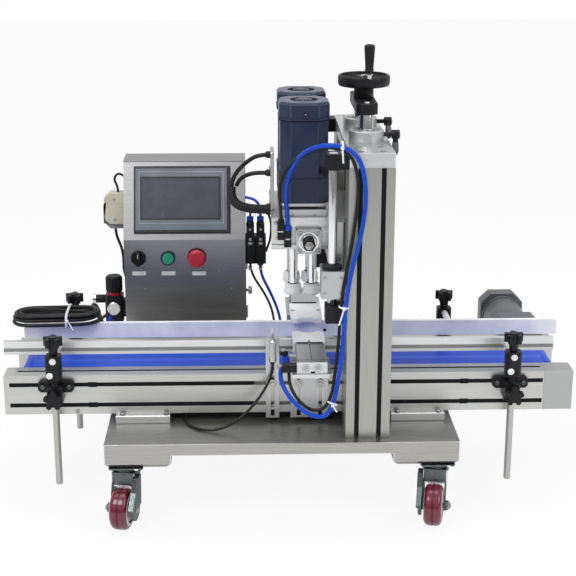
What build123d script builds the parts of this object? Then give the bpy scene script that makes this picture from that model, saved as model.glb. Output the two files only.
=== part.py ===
from build123d import *
import os
from math import cos, radians, sin, tan

os.makedirs("parts", exist_ok=True)

# Bottle capping machine with a belt conveyor, on a base with four casters. Millimetres.
# The origin is on the belt's top face, straight under the capping axis.
# +X runs along the belt, +Y leads away from the operator, +Z is up. The floor is at -belt_height.

# Clearances
run_gap = 0.05
face_gap = 0.3
seat_gap = 0.02

# Conveyor
belt_height = 250
belt_left = -532
belt_right = 484
belt_width = 124
belt_thickness = 2
belt_drum = 50
side_gap = 2
rail_width = 46
rail_height = 76
slot_mouth = 8
slot_pocket = 14
slot_lip = 2.5
slot_depth = 10
rail_slot_pitch = 40
left_block_length = 22
right_block_length = 56
bed_thickness = 10
tie_width = 60
tie_height = 12
tie_places = (-300, 250)
roller_shaft_radius = 6
foot_height = 16
foot_length = 100
foot_overhang = 13
foot_centres = (-298, 213)

# Base
base_left = -362
base_right = 278
base_front = -221
base_back = 460
sheet = 3
lip_depth = 22
pad_depth = 46
pad_size = 120
pad_chamfer = 8

# Casters
caster_inset_x = 38
caster_inset_y = 29
caster_plate_x = 62
caster_plate_y = 58
caster_plate = 3
caster_cup_radius = 22
caster_cup = 6
caster_crown = 9
caster_trail = 37
caster_turn = -11.5
wheel_radius = 38
wheel_width = 32
wheel_hub_radius = 21
wheel_side_gap = 2
fork_wall = 3
axle_radius = 5
kingpin_radius = 5

# Portal
column_x = 112
column_size = 80
column_gap = 240
column_slot_pitch = 40
portal_height = 497
portal_plate = 25
post_offset = 68
post_radius = 12
collar_radius = 31.5
collar_height = 18
lever_stud_radius = 4
lever_stud_gap = 3
lever_reach = 28
lever_drop = 34
lever_hub_radius = 8
lever_hub_length = 14
lever_arm_radius = 5.5
lever_tip_radius = 5
guide_radius = 8
guide_x = 46
guide_offset = 180
guide_top_block = (33, 402, 428)
guide_low_block = (34, 126, 156)
guide_block_width = 40

# Capping head
head_plate_left = -59
head_plate_right = 142
head_plate_half = 105
head_plate_bottom = 286
head_plate_thickness = 12
carriage_plate_left = 52
carriage_plate_thickness = 14
carriage_plate_half = 150
carriage_plate_bottom = 173
bearing_left = 26
bearing_width = 55
bearing_height = 50
front_plate_thickness = 8
front_plate_drop = 47
cable_plate_top = 405
cable_plate_width = 60
cable_plate_thickness = 6
yoke_bottom = 476
yoke_height = 19
yoke_width = 38
yoke_length = 160
screw_radius = 7
screw_bottom = 335
hand_hub_radius = 18
hand_hub_height = 20
hand_rim_radius = 47
hand_rim_tube = 6
hand_rim_lift = 10.7
hand_boss_radius = 13.5
spoke_width = 12
spoke_thickness = 7
grip_angle = -82
grip_lift = 21
grip_length = 47
grip_radius = 10
grip_collar_radius = 4.5
grip_pin_radius = 3
grip_cap = 6

# Gear motors and carriages on the head
motor_size = 90
motor_offset = 60
motor_chamfer = 20
motor_bottom = 321
gearbox_height = 43
motor_body_height = 107
motor_cap_height = 29
neck_width = 60
neck_depth = 20
spindle_offset_x = 17.5
spindle_offset_y = 40
spindle_radius = 8
spindle_pin_radius = 6
housing_bottom = 240
housing_depth = 28
housing_width = 68
slide_rod_radius = 5
slide_rod_x = 30
slide_rod_lift = 6
carriage_travel = 10
cap_wheel_radius = 15.5
cap_wheel_bottom = 134
cap_wheel_height = 20
head_cylinder_x = 7
head_cylinder_size = 45
head_cylinder_proud = 23
head_cylinder_length = 66
head_cylinder_top = 279
piston_radius = 5
piston_reach = 34
piston_hold = 10
stop_ring_radius = 15.5
stop_ring_width = 3
stop_stem_radius = 7
stop_stem_length = 23
stop_nut_radius = 10
stop_nut_width = 16
stop_nut_place = 12
head_fittings = ((-30, 276), (-42, 290))
head_fitting_size = (12, 11, 30)

# Bottle clamps
clamp_x = 11
clamp_width = 54
clamp_height = 21
clamp_length = 108
clamp_bracket = 8
front_clamp_y = -91
front_clamp_top = 54
rear_clamp_y = 118
rear_clamp_top = 64
jaw_width = 60
jaw_rod_radius = 4
jaw_rod_offset = 15
jaw_rod_hold = 52
jaw_rod_bore = 72
jaw_end = 12
jaw_end_gap = 1
jaw_notch_radius = 24
jaw_notch_depth = 8
jaw_corner = 8
front_jaw_nose = 7
front_jaw_tip = -26
rear_jaw_thickness = 10
rear_jaw_tip = 20
side_fittings = ((-40, -148, 43), (-34, -200, 44))
side_fitting_size = 12

# Sensor
sensor_bracket = (-70, -45)
sensor_bracket_top = 72
sensor_size = (11, 12, 35)
sensor_bottom = 30
bracket_foot = -84
bracket_wider = 8
bracket_slot_width = 7
bracket_slot_offset = 20
bracket_slot_rise = 20
bracket_slot_drop = 18
sensor_slot_drop = 44
shelf_overhang = 4

# Bottle guide rails
rail_face = 40
front_guide = (-560, 477, 20, 46)
rear_guide = (-536, 504, 20, 50)
guide_thickness = 10
front_stations = (-456, 384)
rear_stations = (-448, 294)
rail_rod_radius = 6
rail_rod_z = 40
rail_recess = 4
rail_flange = 6
rear_rail_back = 5
mount_y = 133
mount_width = 28
mount_depth = 26
mount_bottom = 2
mount_top = 49
mount_rod_bottom = -205
base_block_top = -14
base_block_bottom = -45
ear_width = 66
ear_height = 22
ear_thickness = 10
ear_corner = 5
mount_rod_cover = 3
knob_radius = 18
top_knob_height = 35
base_knob_height = 22

# Control box
box_left = -363
box_right = -106
box_front = 311
box_back = 453
box_knee = 145.5
box_top = 302
box_slope_y = 62
box_wall = 2
screen_width = 204
screen_height = 144
screen_x = -239
screen_rise = 13.5
screen_proud = 6
screen_depth = 34
screen_lap = 6
button_hole = 11
button_shank = 22
button_travel_gap = 5
green_cap_radius = 12
green_cap_length = 5
red_cap_radius = 19
red_cap_length = 14
selector_collar_radius = 14
selector_collar_length = 8
selector_handle = (8, 12, 28)
selector_x = -332.5
green_x = -270
red_x = -209
button_z = 107
hood_reach = 42
hood_y = (355, 385)
hood_z = (160, 236)
hood_corner = 12
lock_y = 330
lock_z = 28
lock_neck_radius = 3
lock_neck_length = 6
lock_knob_radius = 8
lock_knob_length = 7

# Valves and air regulator on the control box's sides
valve_pitch = 22
valve_y = (318, 350)
valve_z = (90, 150)
valve_plug_inset = 2
valve_plug_width = 17
valve_plug_height = 22
valve_fitting_radius = 7
valve_fitting_height = 18
regulator_offset = 26
regulator_y = 340
regulator_size = 38
regulator_z = (-40, 18)
bowl_radius = 15
bowl_depth = 38
regulator_neck_radius = 14
regulator_neck_height = 6.7
regulator_arm = (20, -30, 8)
inlet_z = 8
inlet_radius = 9
inlet_length = 27
regulator_knob_radius = 17
regulator_knob_height = 35

# Belt drive
drive_x_offset = 12
drive_size = 92
drive_gearbox = 73
drive_body = 118
drive_body_radius = 42
drive_gap = 12
drive_cap = 34
drive_cap_size = 90

# Places worked out from the sizes above
floor_z = -belt_height
deck_top = -rail_height - foot_height
belt_half = belt_width / 2
rail_in = belt_half + side_gap
rail_out = rail_in + rail_width
drum_radius = belt_drum / 2
roller_radius = drum_radius - belt_thickness - face_gap
idler_x = belt_left + drum_radius
drive_x = belt_right - drum_radius
rail_left = belt_left + 1
rail_right = drive_x - 12
conveyor_left = rail_left - left_block_length
conveyor_right = rail_right + right_block_length
slot_heights = (-rail_height / 2 + rail_slot_pitch / 2, -rail_height / 2 - rail_slot_pitch / 2)
pad_bottom = deck_top - pad_depth
wheel_z = floor_z + wheel_radius
plate_bottom = pad_bottom - caster_plate
cup_bottom = plate_bottom - caster_cup
crown_top = cup_bottom - face_gap
crown_bottom = crown_top - caster_crown
column_left = column_x - column_size / 2
column_right = column_x + column_size / 2
column_in = column_gap / 2
column_out = column_in + column_size
portal_top = deck_top + portal_height
plate_top = portal_top + portal_plate
collar_top = plate_top + collar_height
head_plate_top = head_plate_bottom + head_plate_thickness
yoke_top = yoke_bottom + yoke_height
screw_top = yoke_top + face_gap
hand_hub_top = screw_top + hand_hub_height
hand_rim_height = hand_hub_top + hand_rim_lift
grip_bottom = hand_rim_height + grip_lift
grip_top = grip_bottom + grip_length
head_cylinder_front = -head_plate_half - head_cylinder_proud
head_cylinder_back = head_cylinder_front + head_cylinder_length
carriage_plate_right = carriage_plate_left + carriage_plate_thickness
slide_rod_z = head_plate_top + slide_rod_lift


def span(a, b):
    return (min(a, b), max(a, b))


def block(x, y, z):
    size = Box(x[1] - x[0], y[1] - y[0], z[1] - z[0])
    return Pos((x[0] + x[1]) / 2, (y[0] + y[1]) / 2, (z[0] + z[1]) / 2) * size


def rod_x(x, y, z, radius):
    return Pos((x[0] + x[1]) / 2, y, z) * Rot(0, 90, 0) * Cylinder(radius, x[1] - x[0])


def rod_y(x, y, z, radius):
    return Pos(x, (y[0] + y[1]) / 2, z) * Rot(90, 0, 0) * Cylinder(radius, y[1] - y[0])


def rod_z(x, y, z, radius):
    return Pos(x, y, (z[0] + z[1]) / 2) * Cylinder(radius, z[1] - z[0])


def prism_x(points, x):
    outline = Plane.YZ.offset(x[0]) * Polygon(*points, align=None)
    return extrude(outline, x[1] - x[0], dir=(1, 0, 0))


def prism_z(sketch, z):
    return extrude(Plane.XY.offset(z[0]) * sketch, z[1] - z[0], dir=(0, 0, 1))


def save(name, *shapes):
    solids = [solid for shape in shapes for solid in shape.solids()]
    export_step(Compound(children=solids), "parts/" + name + ".step")


def eased(shape, axis, size):
    return fillet(shape.edges().filter_by(axis), size)


def star_knob(radius, height):
    # Five rounded lobes on a hub, standing on z = 0 with its neck below the lobes.
    neck = Pos(0, 0, height * 0.25) * Cone(radius * 0.42, radius * 0.52, height * 0.5)
    disc = Pos(0, 0, height * 0.7) * Cylinder(radius * 0.62, height * 0.5)
    knob = neck + disc
    for lobe in range(5):
        turn = Rot(0, 0, 72 * lobe + 18)
        knob += turn * Pos(radius * 0.72, 0, height * 0.72) * Cylinder(radius * 0.28, height * 0.46)
    return knob + Pos(0, 0, height * 0.93) * Cylinder(radius * 0.5, height * 0.14)


# Base tray with its corner pads, and the four caster plates
def corner(side_x, side_y):
    x = (base_left, base_left + pad_size) if side_x < 0 else (base_right - pad_size, base_right)
    y = (base_front, base_front + pad_size) if side_y < 0 else (base_back - pad_size, base_back)
    return x, y


def make_base():
    tray = block((base_left, base_right), (base_front, base_back), (deck_top - lip_depth, deck_top))
    tray -= block(
        (base_left + sheet, base_right - sheet),
        (base_front + sheet, base_back - sheet),
        (deck_top - lip_depth, deck_top - sheet),
    )
    for side_x in (-1, 1):
        for side_y in (-1, 1):
            x, y = corner(side_x, side_y)
            pad = block(x, y, (pad_bottom, deck_top))
            pad = chamfer(pad.edges().group_by(Axis.Z)[0], pad_chamfer)
            hollow = block(
                (x[0] + sheet, x[1] - sheet), (y[0] + sheet, y[1] - sheet), (pad_bottom + sheet, deck_top - sheet)
            )
            hollow = chamfer(hollow.edges().group_by(Axis.Z)[0], pad_chamfer)
            tray = tray + pad - hollow
    return tray


def caster_places():
    left, right = base_left + caster_inset_x, base_right - caster_inset_x
    front, back = base_front + caster_inset_y, base_back - caster_inset_y
    return {
        "front_left": (left, front, 1),
        "front_right": (right, front, -1),
        "rear_left": (left, back, 1),
        "rear_right": (right, back, -1),
    }


def caster_top():
    half_x, half_y = caster_plate_x / 2, caster_plate_y / 2
    plate = block((-half_x, half_x), (-half_y, half_y), (plate_bottom, pad_bottom))
    plate = eased(plate, Axis.Z, 6)
    plate += rod_z(0, 0, (cup_bottom, plate_bottom), caster_cup_radius)
    return plate - rod_z(0, 0, (cup_bottom, pad_bottom), kingpin_radius + run_gap)


def caster_fork(pedal_side):
    reach = wheel_width / 2 + wheel_side_gap
    crown = rod_z(0, 0, (crown_bottom, crown_top), caster_cup_radius + 2)
    kingpin = rod_z(0, 0, (crown_top, pad_bottom - face_gap), kingpin_radius)
    fork = crown + kingpin
    eye = axle_radius + 5
    top = crown_bottom + caster_crown
    for side in (-1, 1):
        wall = span(side * reach, side * (reach + fork_wall))
        leg = [
            (-22, top),
            (18, top),
            (14, crown_bottom - 6),
            (-caster_trail + eye, wheel_z - 2),
            (-caster_trail + 4, wheel_z - eye),
            (-caster_trail - 4, wheel_z - eye),
            (-caster_trail - eye, wheel_z - 2),
            (-26, crown_bottom - 6),
        ]
        fork += prism_x(leg, wall)
    fork -= rod_x((-reach - 9, reach + 9), -caster_trail, wheel_z, axle_radius + run_gap)
    axle_end = reach + fork_wall + 6
    axle = rod_x((-axle_end, axle_end), -caster_trail, wheel_z, axle_radius)
    for side in (-1, 1):
        axle += rod_x(span(side * (reach + fork_wall), side * (axle_end - 1)), -caster_trail, wheel_z, axle_radius + 4)
    pedal_in = reach + fork_wall
    pedal = prism_x(
        [(-30, crown_bottom + 4), (-14, crown_bottom + 4), (-16, wheel_z + 14), (-70, wheel_z + 6), (-74, wheel_z + 14)],
        span(pedal_side * pedal_in, pedal_side * (pedal_in + 9)),
    )
    return [fork, axle, pedal]


def caster_wheel():
    half = wheel_width / 2
    tyre = rod_x((-half, half), 0, 0, wheel_radius)
    tyre = fillet(tyre.edges(), wheel_width * 0.28)
    for side in (-1, 1):
        dish = span(side * half, side * (half - 3))
        tyre -= rod_x(dish, 0, 0, wheel_hub_radius + 4) - rod_x(dish, 0, 0, axle_radius + 6)
    return tyre - rod_x((-half, half), 0, 0, axle_radius + run_gap)


def make_casters():
    tops = []
    for name, (x, y, pedal_side) in caster_places().items():
        place = Pos(x, y, 0)
        tops.append(place * caster_top())
        turned = place * Rot(0, 0, caster_turn)
        save(name + "_caster_fork", *[turned * piece for piece in caster_fork(pedal_side)])
        save(name + "_caster_wheel", turned * Pos(0, -caster_trail, wheel_z) * caster_wheel())
    save("base_tray", make_base())
    save("caster_plates", *tops)


# Conveyor: side rails, bed, belt, rollers, end blocks and feet
def rail_slot(x, side, z):
    mouth_y = span(side * rail_out, side * (rail_out - slot_depth))
    pocket_y = span(side * (rail_out - slot_lip), side * (rail_out - slot_depth))
    mouth = block(x, mouth_y, (z - slot_mouth / 2, z + slot_mouth / 2))
    return mouth + block(x, pocket_y, (z - slot_pocket / 2, z + slot_pocket / 2))


def side_rail(side):
    x = (rail_left, rail_right)
    rail = block(x, span(side * rail_in, side * rail_out), (-rail_height, 0))
    for z in slot_heights:
        rail -= rail_slot(x, side, z)
    top_y = side * (rail_in + rail_width * 0.45)
    rail -= block(x, (top_y - slot_mouth / 2, top_y + slot_mouth / 2), (-slot_depth, 0))
    shaft_y = span(side * rail_in, side * (rail_in + rail_width / 2))
    return rail - rod_y(idler_x, shaft_y, -drum_radius, roller_shaft_radius + run_gap)


def end_blocks():
    blocks = []
    for side in (-1, 1):
        y = span(side * rail_in, side * rail_out)
        left = block((conveyor_left, rail_left), y, (-rail_height, 0))
        right = block((rail_right, conveyor_right), y, (-rail_height, 0))
        bore = y if side > 0 else span(side * rail_in, side * (rail_in + rail_width / 2))
        right -= rod_y(drive_x, bore, -drum_radius, roller_shaft_radius + run_gap)
        blocks += [chamfer(left.edges().filter_by(Axis.Y), 1), chamfer(right.edges().filter_by(Axis.Y), 1)]
    return blocks


def make_conveyor():
    bed = block(
        (idler_x + drum_radius + 4, drive_x - drum_radius - 4),
        (-rail_in, rail_in),
        (-belt_thickness - bed_thickness, -belt_thickness),
    )
    ties = [
        block((x - tie_width / 2, x + tie_width / 2), (-rail_in, rail_in), (-rail_height, -rail_height + tie_height))
        for x in tie_places
    ]
    save("conveyor_frame", side_rail(-1), side_rail(1), bed, *ties, *end_blocks())

    def loop(radius):
        y = (-belt_half, belt_half)
        flat = block((idler_x, drive_x), y, (-drum_radius - radius, -drum_radius + radius))
        return flat + rod_y(idler_x, y, -drum_radius, radius) + rod_y(drive_x, y, -drum_radius, radius)

    save("conveyor_belt", loop(drum_radius) - loop(drum_radius - belt_thickness))

    drum_end = belt_half - 1
    shaft_end = rail_in + rail_width / 2 - 1
    idler = rod_y(idler_x, (-drum_end, drum_end), -drum_radius, roller_radius)
    idler += rod_y(idler_x, (-shaft_end, shaft_end), -drum_radius, roller_shaft_radius)
    drive = rod_y(drive_x, (-drum_end, drum_end), -drum_radius, roller_radius)
    shaft_back = rail_out + drive_gearbox / 2 - 1
    drive += rod_y(drive_x, (-shaft_end, shaft_back), -drum_radius, roller_shaft_radius)
    save("idler_roller", idler)
    save("drive_roller", drive)

    feet = []
    for x in foot_centres:
        for side in (-1, 1):
            y = span(side * rail_in, side * (rail_out + foot_overhang))
            foot = block((x - foot_length / 2, x + foot_length / 2), y, (deck_top, -rail_height))
            feet.append(chamfer(foot.edges().filter_by(Axis.X), 1.5))
    save("conveyor_feet", *feet)


def make_belt_drive():
    x = drive_x - drive_x_offset
    z = -drum_radius
    half = drive_size / 2
    start = rail_out
    gearbox = block((x - half, x + half), (start, start + drive_gearbox), (z - half, z + half))
    gearbox = chamfer(gearbox.edges().filter_by(Axis.Y), 12)
    gearbox -= rod_y(drive_x, (start, start + drive_gearbox / 2), z, roller_shaft_radius + run_gap)
    body_y = (start + drive_gearbox, start + drive_gearbox + drive_body)
    body = rod_y(x, body_y, z, drive_body_radius)
    gap_y = (body_y[1], body_y[1] + drive_gap)
    fan = rod_y(x, gap_y, z, drive_body_radius - 6)
    cap_half = drive_cap_size / 2
    cap = block((x - cap_half, x + cap_half), (gap_y[1], gap_y[1] + drive_cap), (z - cap_half, z + cap_half))
    cap = chamfer(cap.edges().filter_by(Axis.Y), motor_chamfer)
    save("conveyor_gearmotor", gearbox, body, fan, cap)


# Portal: columns, top plate, collars, levers and guide shafts
def make_portal():
    profile = Rectangle(column_size, column_size)
    half = column_size / 2
    for quarter in range(4):
        for offset in (-column_slot_pitch / 2, column_slot_pitch / 2):
            mouth = Pos(half - slot_depth / 2, offset) * Rectangle(slot_depth, slot_mouth)
            deep = slot_depth - slot_lip
            pocket = Pos(half - slot_lip - deep / 2, offset) * Rectangle(deep, slot_pocket * 0.8)
            profile -= Rot(0, 0, 90 * quarter) * (mouth + pocket)
    columns = []
    for side in (-1, 1):
        centre = Pos(column_x, side * (column_in + half))
        columns.append(prism_z(centre * profile, (deck_top, portal_top)))
    save("columns", *columns)

    top = block((column_left, column_right), (-column_out, column_out), (portal_top, plate_top))
    top = chamfer(top.edges().filter_by(Axis.Z), 1.5)
    top -= rod_z(column_x, 0, (portal_top, plate_top), screw_radius + run_gap)
    collars = []
    for side in (-1, 1):
        y = side * post_offset
        top -= rod_z(column_x, y, (portal_top, plate_top), post_radius + run_gap)
        collar = rod_z(column_x, y, (plate_top, collar_top), collar_radius)
        collar = chamfer(collar.edges().group_by(Axis.Z)[-1], 1.5)
        collar -= rod_z(column_x, y, (plate_top, collar_top), post_radius + run_gap)
        stud_x = (column_x + post_radius + 2, column_x + collar_radius)
        collar -= rod_x(stud_x, y, plate_top + collar_height / 2, lever_stud_radius + run_gap)
        collars.append(collar)
    save("top_plate", top)
    save("clamp_collars", *collars)

    shafts = []
    blocks = []
    half_block = guide_block_width / 2
    for side in (-1, 1):
        y = side * guide_offset
        shafts.append(rod_z(guide_x, y, (guide_low_block[1], guide_top_block[2]), guide_radius))
        for left, low, high in (guide_top_block, guide_low_block):
            shape = block((left, column_left), (y - half_block, y + half_block), (low, high))
            shape = chamfer(shape.edges().filter_by(Axis.Z), 2)
            blocks.append(shape - rod_z(guide_x, y, (low, high), guide_radius + seat_gap))
    save("guide_shafts", *shafts)
    save("guide_shaft_blocks", *blocks)


def clamp_lever(side, lean):
    # A stud screwed into the collar, and a tapered arm that leans from straight down by this angle.
    y = side * post_offset
    z = plate_top + collar_height / 2
    stud_start = column_x + post_radius + lever_stud_gap
    hub_end = column_x + collar_radius + lever_reach
    arm_x = hub_end - lever_hub_length / 2
    stud = rod_x((stud_start, arm_x), 0, 0, lever_stud_radius)
    hub = rod_x((hub_end - lever_hub_length, hub_end), 0, 0, lever_hub_radius)
    arm = Pos(arm_x, 0, -lever_drop / 2) * Cone(lever_stud_radius, lever_arm_radius, lever_drop)
    tip = Pos(arm_x, 0, -lever_drop) * Sphere(lever_tip_radius)
    return Pos(0, y, z) * Rot(lean, 0, 0) * (stud + hub + arm + tip)


# Capping head
def make_head():
    half = head_plate_half
    plate = block((head_plate_left, head_plate_right), (-half, half), (head_plate_bottom, head_plate_top))
    side = block(
        (carriage_plate_left, carriage_plate_right),
        (-carriage_plate_half, carriage_plate_half),
        (carriage_plate_bottom, head_plate_top),
    )
    front_y = (-half - front_plate_thickness, -half)
    front = block((head_plate_left, carriage_plate_right), front_y, (head_plate_bottom - front_plate_drop, head_plate_top))
    beam = plate + side + front
    slot_in = spindle_offset_y - neck_depth / 2 - carriage_travel - 2
    slot_out = spindle_offset_y + neck_depth / 2 + 2
    slot_half = neck_width / 2 + 1
    for sign in (-1, 1):
        slot_y = span(sign * slot_in, sign * slot_out)
        beam -= block((-slot_half, slot_half), slot_y, (head_plate_bottom, head_plate_top))
    beam -= block(
        (head_cylinder_x - head_cylinder_size / 2, head_cylinder_x + head_cylinder_size / 2),
        front_y,
        (head_cylinder_top - head_cylinder_size, head_cylinder_top),
    )
    cable_plate = block(
        (head_plate_left, head_plate_left + cable_plate_thickness),
        (-cable_plate_width, 0),
        (head_plate_top, cable_plate_top),
    )
    cable_plate = eased(cable_plate, Axis.X, 4)
    bearings = []
    for sign in (-1, 1):
        y = span(sign * carriage_plate_half, sign * (carriage_plate_half + bearing_width))
        z = (carriage_plate_bottom, carriage_plate_bottom + bearing_height)
        bearing = block((bearing_left, carriage_plate_right), y, z)
        bearing = chamfer(bearing.edges().filter_by(Axis.Z), 2)
        bearing += rod_z(guide_x, sign * guide_offset, (z[1], z[1] + 4), guide_radius + 7)
        bearing -= rod_z(guide_x, sign * guide_offset, (z[0], z[1] + 4), guide_radius + run_gap)
        bearings.append(bearing)
    rods = []
    ends = []
    for sign in (-1, 1):
        end_y = span(sign * half, sign * (half - 8))
        end = block((-slide_rod_x - 10, slide_rod_x + 10), end_y, (head_plate_top, head_plate_top + 12))
        for x in (-slide_rod_x, slide_rod_x):
            end -= rod_y(x, end_y, slide_rod_z, slide_rod_radius + seat_gap)
        ends.append(end)
        rods.append(rod_y(sign * slide_rod_x, (-half, half), slide_rod_z, slide_rod_radius))
    save("head_beam", beam, cable_plate, *bearings, *ends, *rods)

    posts = []
    for sign in (-1, 1):
        posts.append(rod_z(column_x, sign * post_offset, (head_plate_top, yoke_top - 6), post_radius))
    save("lift_posts", *posts)

    yoke_x = (column_x - yoke_width / 2, column_x + yoke_width / 2)
    yoke = block(yoke_x, (-yoke_length / 2, yoke_length / 2), (yoke_bottom, yoke_top))
    yoke = chamfer(yoke.edges().filter_by(Axis.Z), 5)
    for sign in (-1, 1):
        yoke -= rod_z(column_x, sign * post_offset, (yoke_bottom, yoke_top - 6), post_radius + seat_gap)
    yoke -= rod_z(column_x, 0, (yoke_bottom, yoke_top), screw_radius + run_gap)
    save("lift_yoke", yoke)


def make_handwheel():
    ring = hand_rim_radius - hand_rim_tube
    rim = revolve(Plane.XZ * Pos(ring, 0) * Circle(hand_rim_tube), Axis.Z)
    wheel = Pos(column_x, 0, hand_rim_height) * rim
    wheel += rod_z(column_x, 0, (screw_top, hand_hub_top), hand_hub_radius)
    wheel += rod_z(column_x, 0, (hand_hub_top, hand_rim_height + spoke_thickness), hand_boss_radius)
    for spoke in range(3):
        arm = Pos(ring / 2, 0, 0) * Box(ring, spoke_width, spoke_thickness)
        wheel += Pos(column_x, 0, hand_rim_height) * Rot(0, 0, 120 * spoke + grip_angle) * arm
    wheel += rod_z(column_x, 0, (screw_bottom, screw_top), screw_radius)
    grip_x = column_x + ring * cos(radians(grip_angle))
    grip_y = ring * sin(radians(grip_angle))
    pin_top = grip_top - grip_cap
    wheel += rod_z(grip_x, grip_y, (hand_rim_height, grip_bottom - face_gap), grip_collar_radius)
    wheel += rod_z(grip_x, grip_y, (grip_bottom - face_gap, pin_top), grip_pin_radius)
    save("handwheel", wheel)
    middle = (grip_bottom + grip_top) / 2
    grip = Pos(grip_x, grip_y, middle) * Cone(grip_radius * 0.7, grip_radius, grip_length)
    grip = fillet(grip.edges().group_by(Axis.Z)[-1], grip_radius * 0.4)
    grip -= rod_z(grip_x, grip_y, (grip_bottom, pin_top + face_gap), grip_pin_radius + run_gap)
    save("handwheel_grip", grip)


def make_motor(sign):
    half = motor_size / 2
    y = sign * motor_offset
    gearbox_top = motor_bottom + gearbox_height
    body_top = gearbox_top + motor_body_height
    cap_top = body_top + motor_cap_height
    gearbox = block((-half, half), (y - half, y + half), (motor_bottom, gearbox_top))
    gearbox = chamfer(gearbox.edges().filter_by(Axis.Z), motor_chamfer)
    slim = half - 2
    body = block((-slim, slim), (y - slim, y + slim), (gearbox_top, body_top))
    body = chamfer(body.edges().filter_by(Axis.Z), motor_chamfer - 1)
    cap = block((-half, half), (y - half, y + half), (body_top, cap_top))
    cap = chamfer(cap.edges().filter_by(Axis.Z), motor_chamfer)
    cap = chamfer(cap.edges().group_by(Axis.Z)[-1], 3)
    return [gearbox, body, cap]


def make_carriage(sign):
    # The motor plate, the slide block that runs on the two rods, the neck through the head
    # plate and the housing of the two spindles below it.
    half = motor_size / 2
    y = sign * motor_offset
    plate_low = motor_bottom - 5
    carriage = block((-half, half), (y - half, y + half), (plate_low, motor_bottom))
    carriage = chamfer(carriage.edges().filter_by(Axis.Z), motor_chamfer - 8)
    low = head_plate_top + face_gap
    carriage += block((-slide_rod_x - 10, slide_rod_x + 10), span(sign * 16, sign * 82), (low, plate_low))
    neck_y = (sign * spindle_offset_y - neck_depth / 2, sign * spindle_offset_y + neck_depth / 2)
    housing_top = head_plate_bottom - face_gap
    carriage += block((-neck_width / 2, neck_width / 2), neck_y, (housing_top, low))
    deep = housing_depth / 2
    housing_y = (sign * spindle_offset_y - deep, sign * spindle_offset_y + deep)
    housing = block((-housing_width / 2, housing_width / 2), housing_y, (housing_bottom, housing_top))
    carriage += chamfer(housing.edges().filter_by(Axis.Z), 3)
    for x in (-slide_rod_x, slide_rod_x):
        carriage -= rod_y(x, span(sign * 10, sign * 90), slide_rod_z, slide_rod_radius + run_gap)
    for x in (-spindle_offset_x, spindle_offset_x):
        bore_z = (housing_bottom, housing_top - 4)
        carriage -= rod_z(x, sign * spindle_offset_y, bore_z, spindle_pin_radius + run_gap)
    if sign < 0:
        piston_z = head_cylinder_top - head_cylinder_size / 2
        piston_y = (head_cylinder_back - piston_reach, -spindle_offset_y - deep)
        carriage += rod_y(head_cylinder_x, piston_y, piston_z, piston_radius)
    return carriage


def make_head_cylinder():
    half = head_cylinder_size / 2
    z = head_cylinder_top - half
    x = (head_cylinder_x - half, head_cylinder_x + half)
    body = block(x, (head_cylinder_front, head_cylinder_back), (z - half, z + half))
    body = chamfer(body.edges().filter_by(Axis.Y), 3)
    bore_y = (head_cylinder_back - piston_reach - piston_hold - carriage_travel, head_cylinder_back)
    body -= rod_y(head_cylinder_x, bore_y, z, piston_radius + run_gap)
    ring_front = head_cylinder_front - stop_ring_width
    ring = rod_y(head_cylinder_x, (ring_front, head_cylinder_front), z, stop_ring_radius)
    stem = rod_y(head_cylinder_x, (ring_front - stop_stem_length, ring_front), z, stop_stem_radius)
    nut = extrude(RegularPolygon(stop_nut_radius, 6), stop_nut_width / 2, both=True)
    nut = Pos(head_cylinder_x, head_cylinder_front - stop_nut_place, z) * Rot(90, 0, 0) * nut
    fittings = []
    width, depth, height = head_fitting_size
    for x, top in head_fittings:
        front = -head_plate_half - front_plate_thickness
        elbow = block((x - width / 2, x + width / 2), (front - depth, front), (top - height, top))
        fittings.append(chamfer(elbow.edges().filter_by(Axis.Z), 2))
    save("head_cylinder", body, ring + stem + nut, *fittings)


def make_spindle(x, y):
    pin_top = head_plate_bottom - face_gap - 6
    wheel_top = cap_wheel_bottom + cap_wheel_height
    spindle = rod_z(x, y, (wheel_top, housing_bottom - face_gap), spindle_radius)
    spindle += rod_z(x, y, (housing_bottom - face_gap, pin_top), spindle_pin_radius)
    spindle += rod_z(x, y, (cap_wheel_bottom + 3, wheel_top), spindle_pin_radius)
    wheel = rod_z(x, y, (cap_wheel_bottom, wheel_top), cap_wheel_radius)
    wheel = fillet(wheel.edges(), 3)
    wheel -= rod_z(x, y, (cap_wheel_bottom + 3, wheel_top), spindle_pin_radius + seat_gap)
    return [spindle, wheel]


# Bottle clamps, their brackets and the sensor
def clamp_cylinder(side, start, top):
    x = (clamp_x - clamp_width / 2, clamp_x + clamp_width / 2)
    y = span(side * abs(start), side * (abs(start) + clamp_length))
    body = block(x, y, (top - clamp_height, top))
    body = chamfer(body.edges().filter_by(Axis.Y), 1.5)
    bore_y = span(side * abs(start), side * (abs(start) + jaw_rod_bore))
    for offset in (-jaw_rod_offset, jaw_rod_offset):
        body -= rod_y(clamp_x + offset, bore_y, top - clamp_height / 2, jaw_rod_radius + run_gap)
    return body


def jaw_rods(side, start, top, end_y):
    rods = []
    for offset in (-jaw_rod_offset, jaw_rod_offset):
        y = span(end_y, side * (abs(start) + jaw_rod_hold))
        rods.append(rod_y(clamp_x + offset, y, top - clamp_height / 2, jaw_rod_radius))
    return rods


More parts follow.
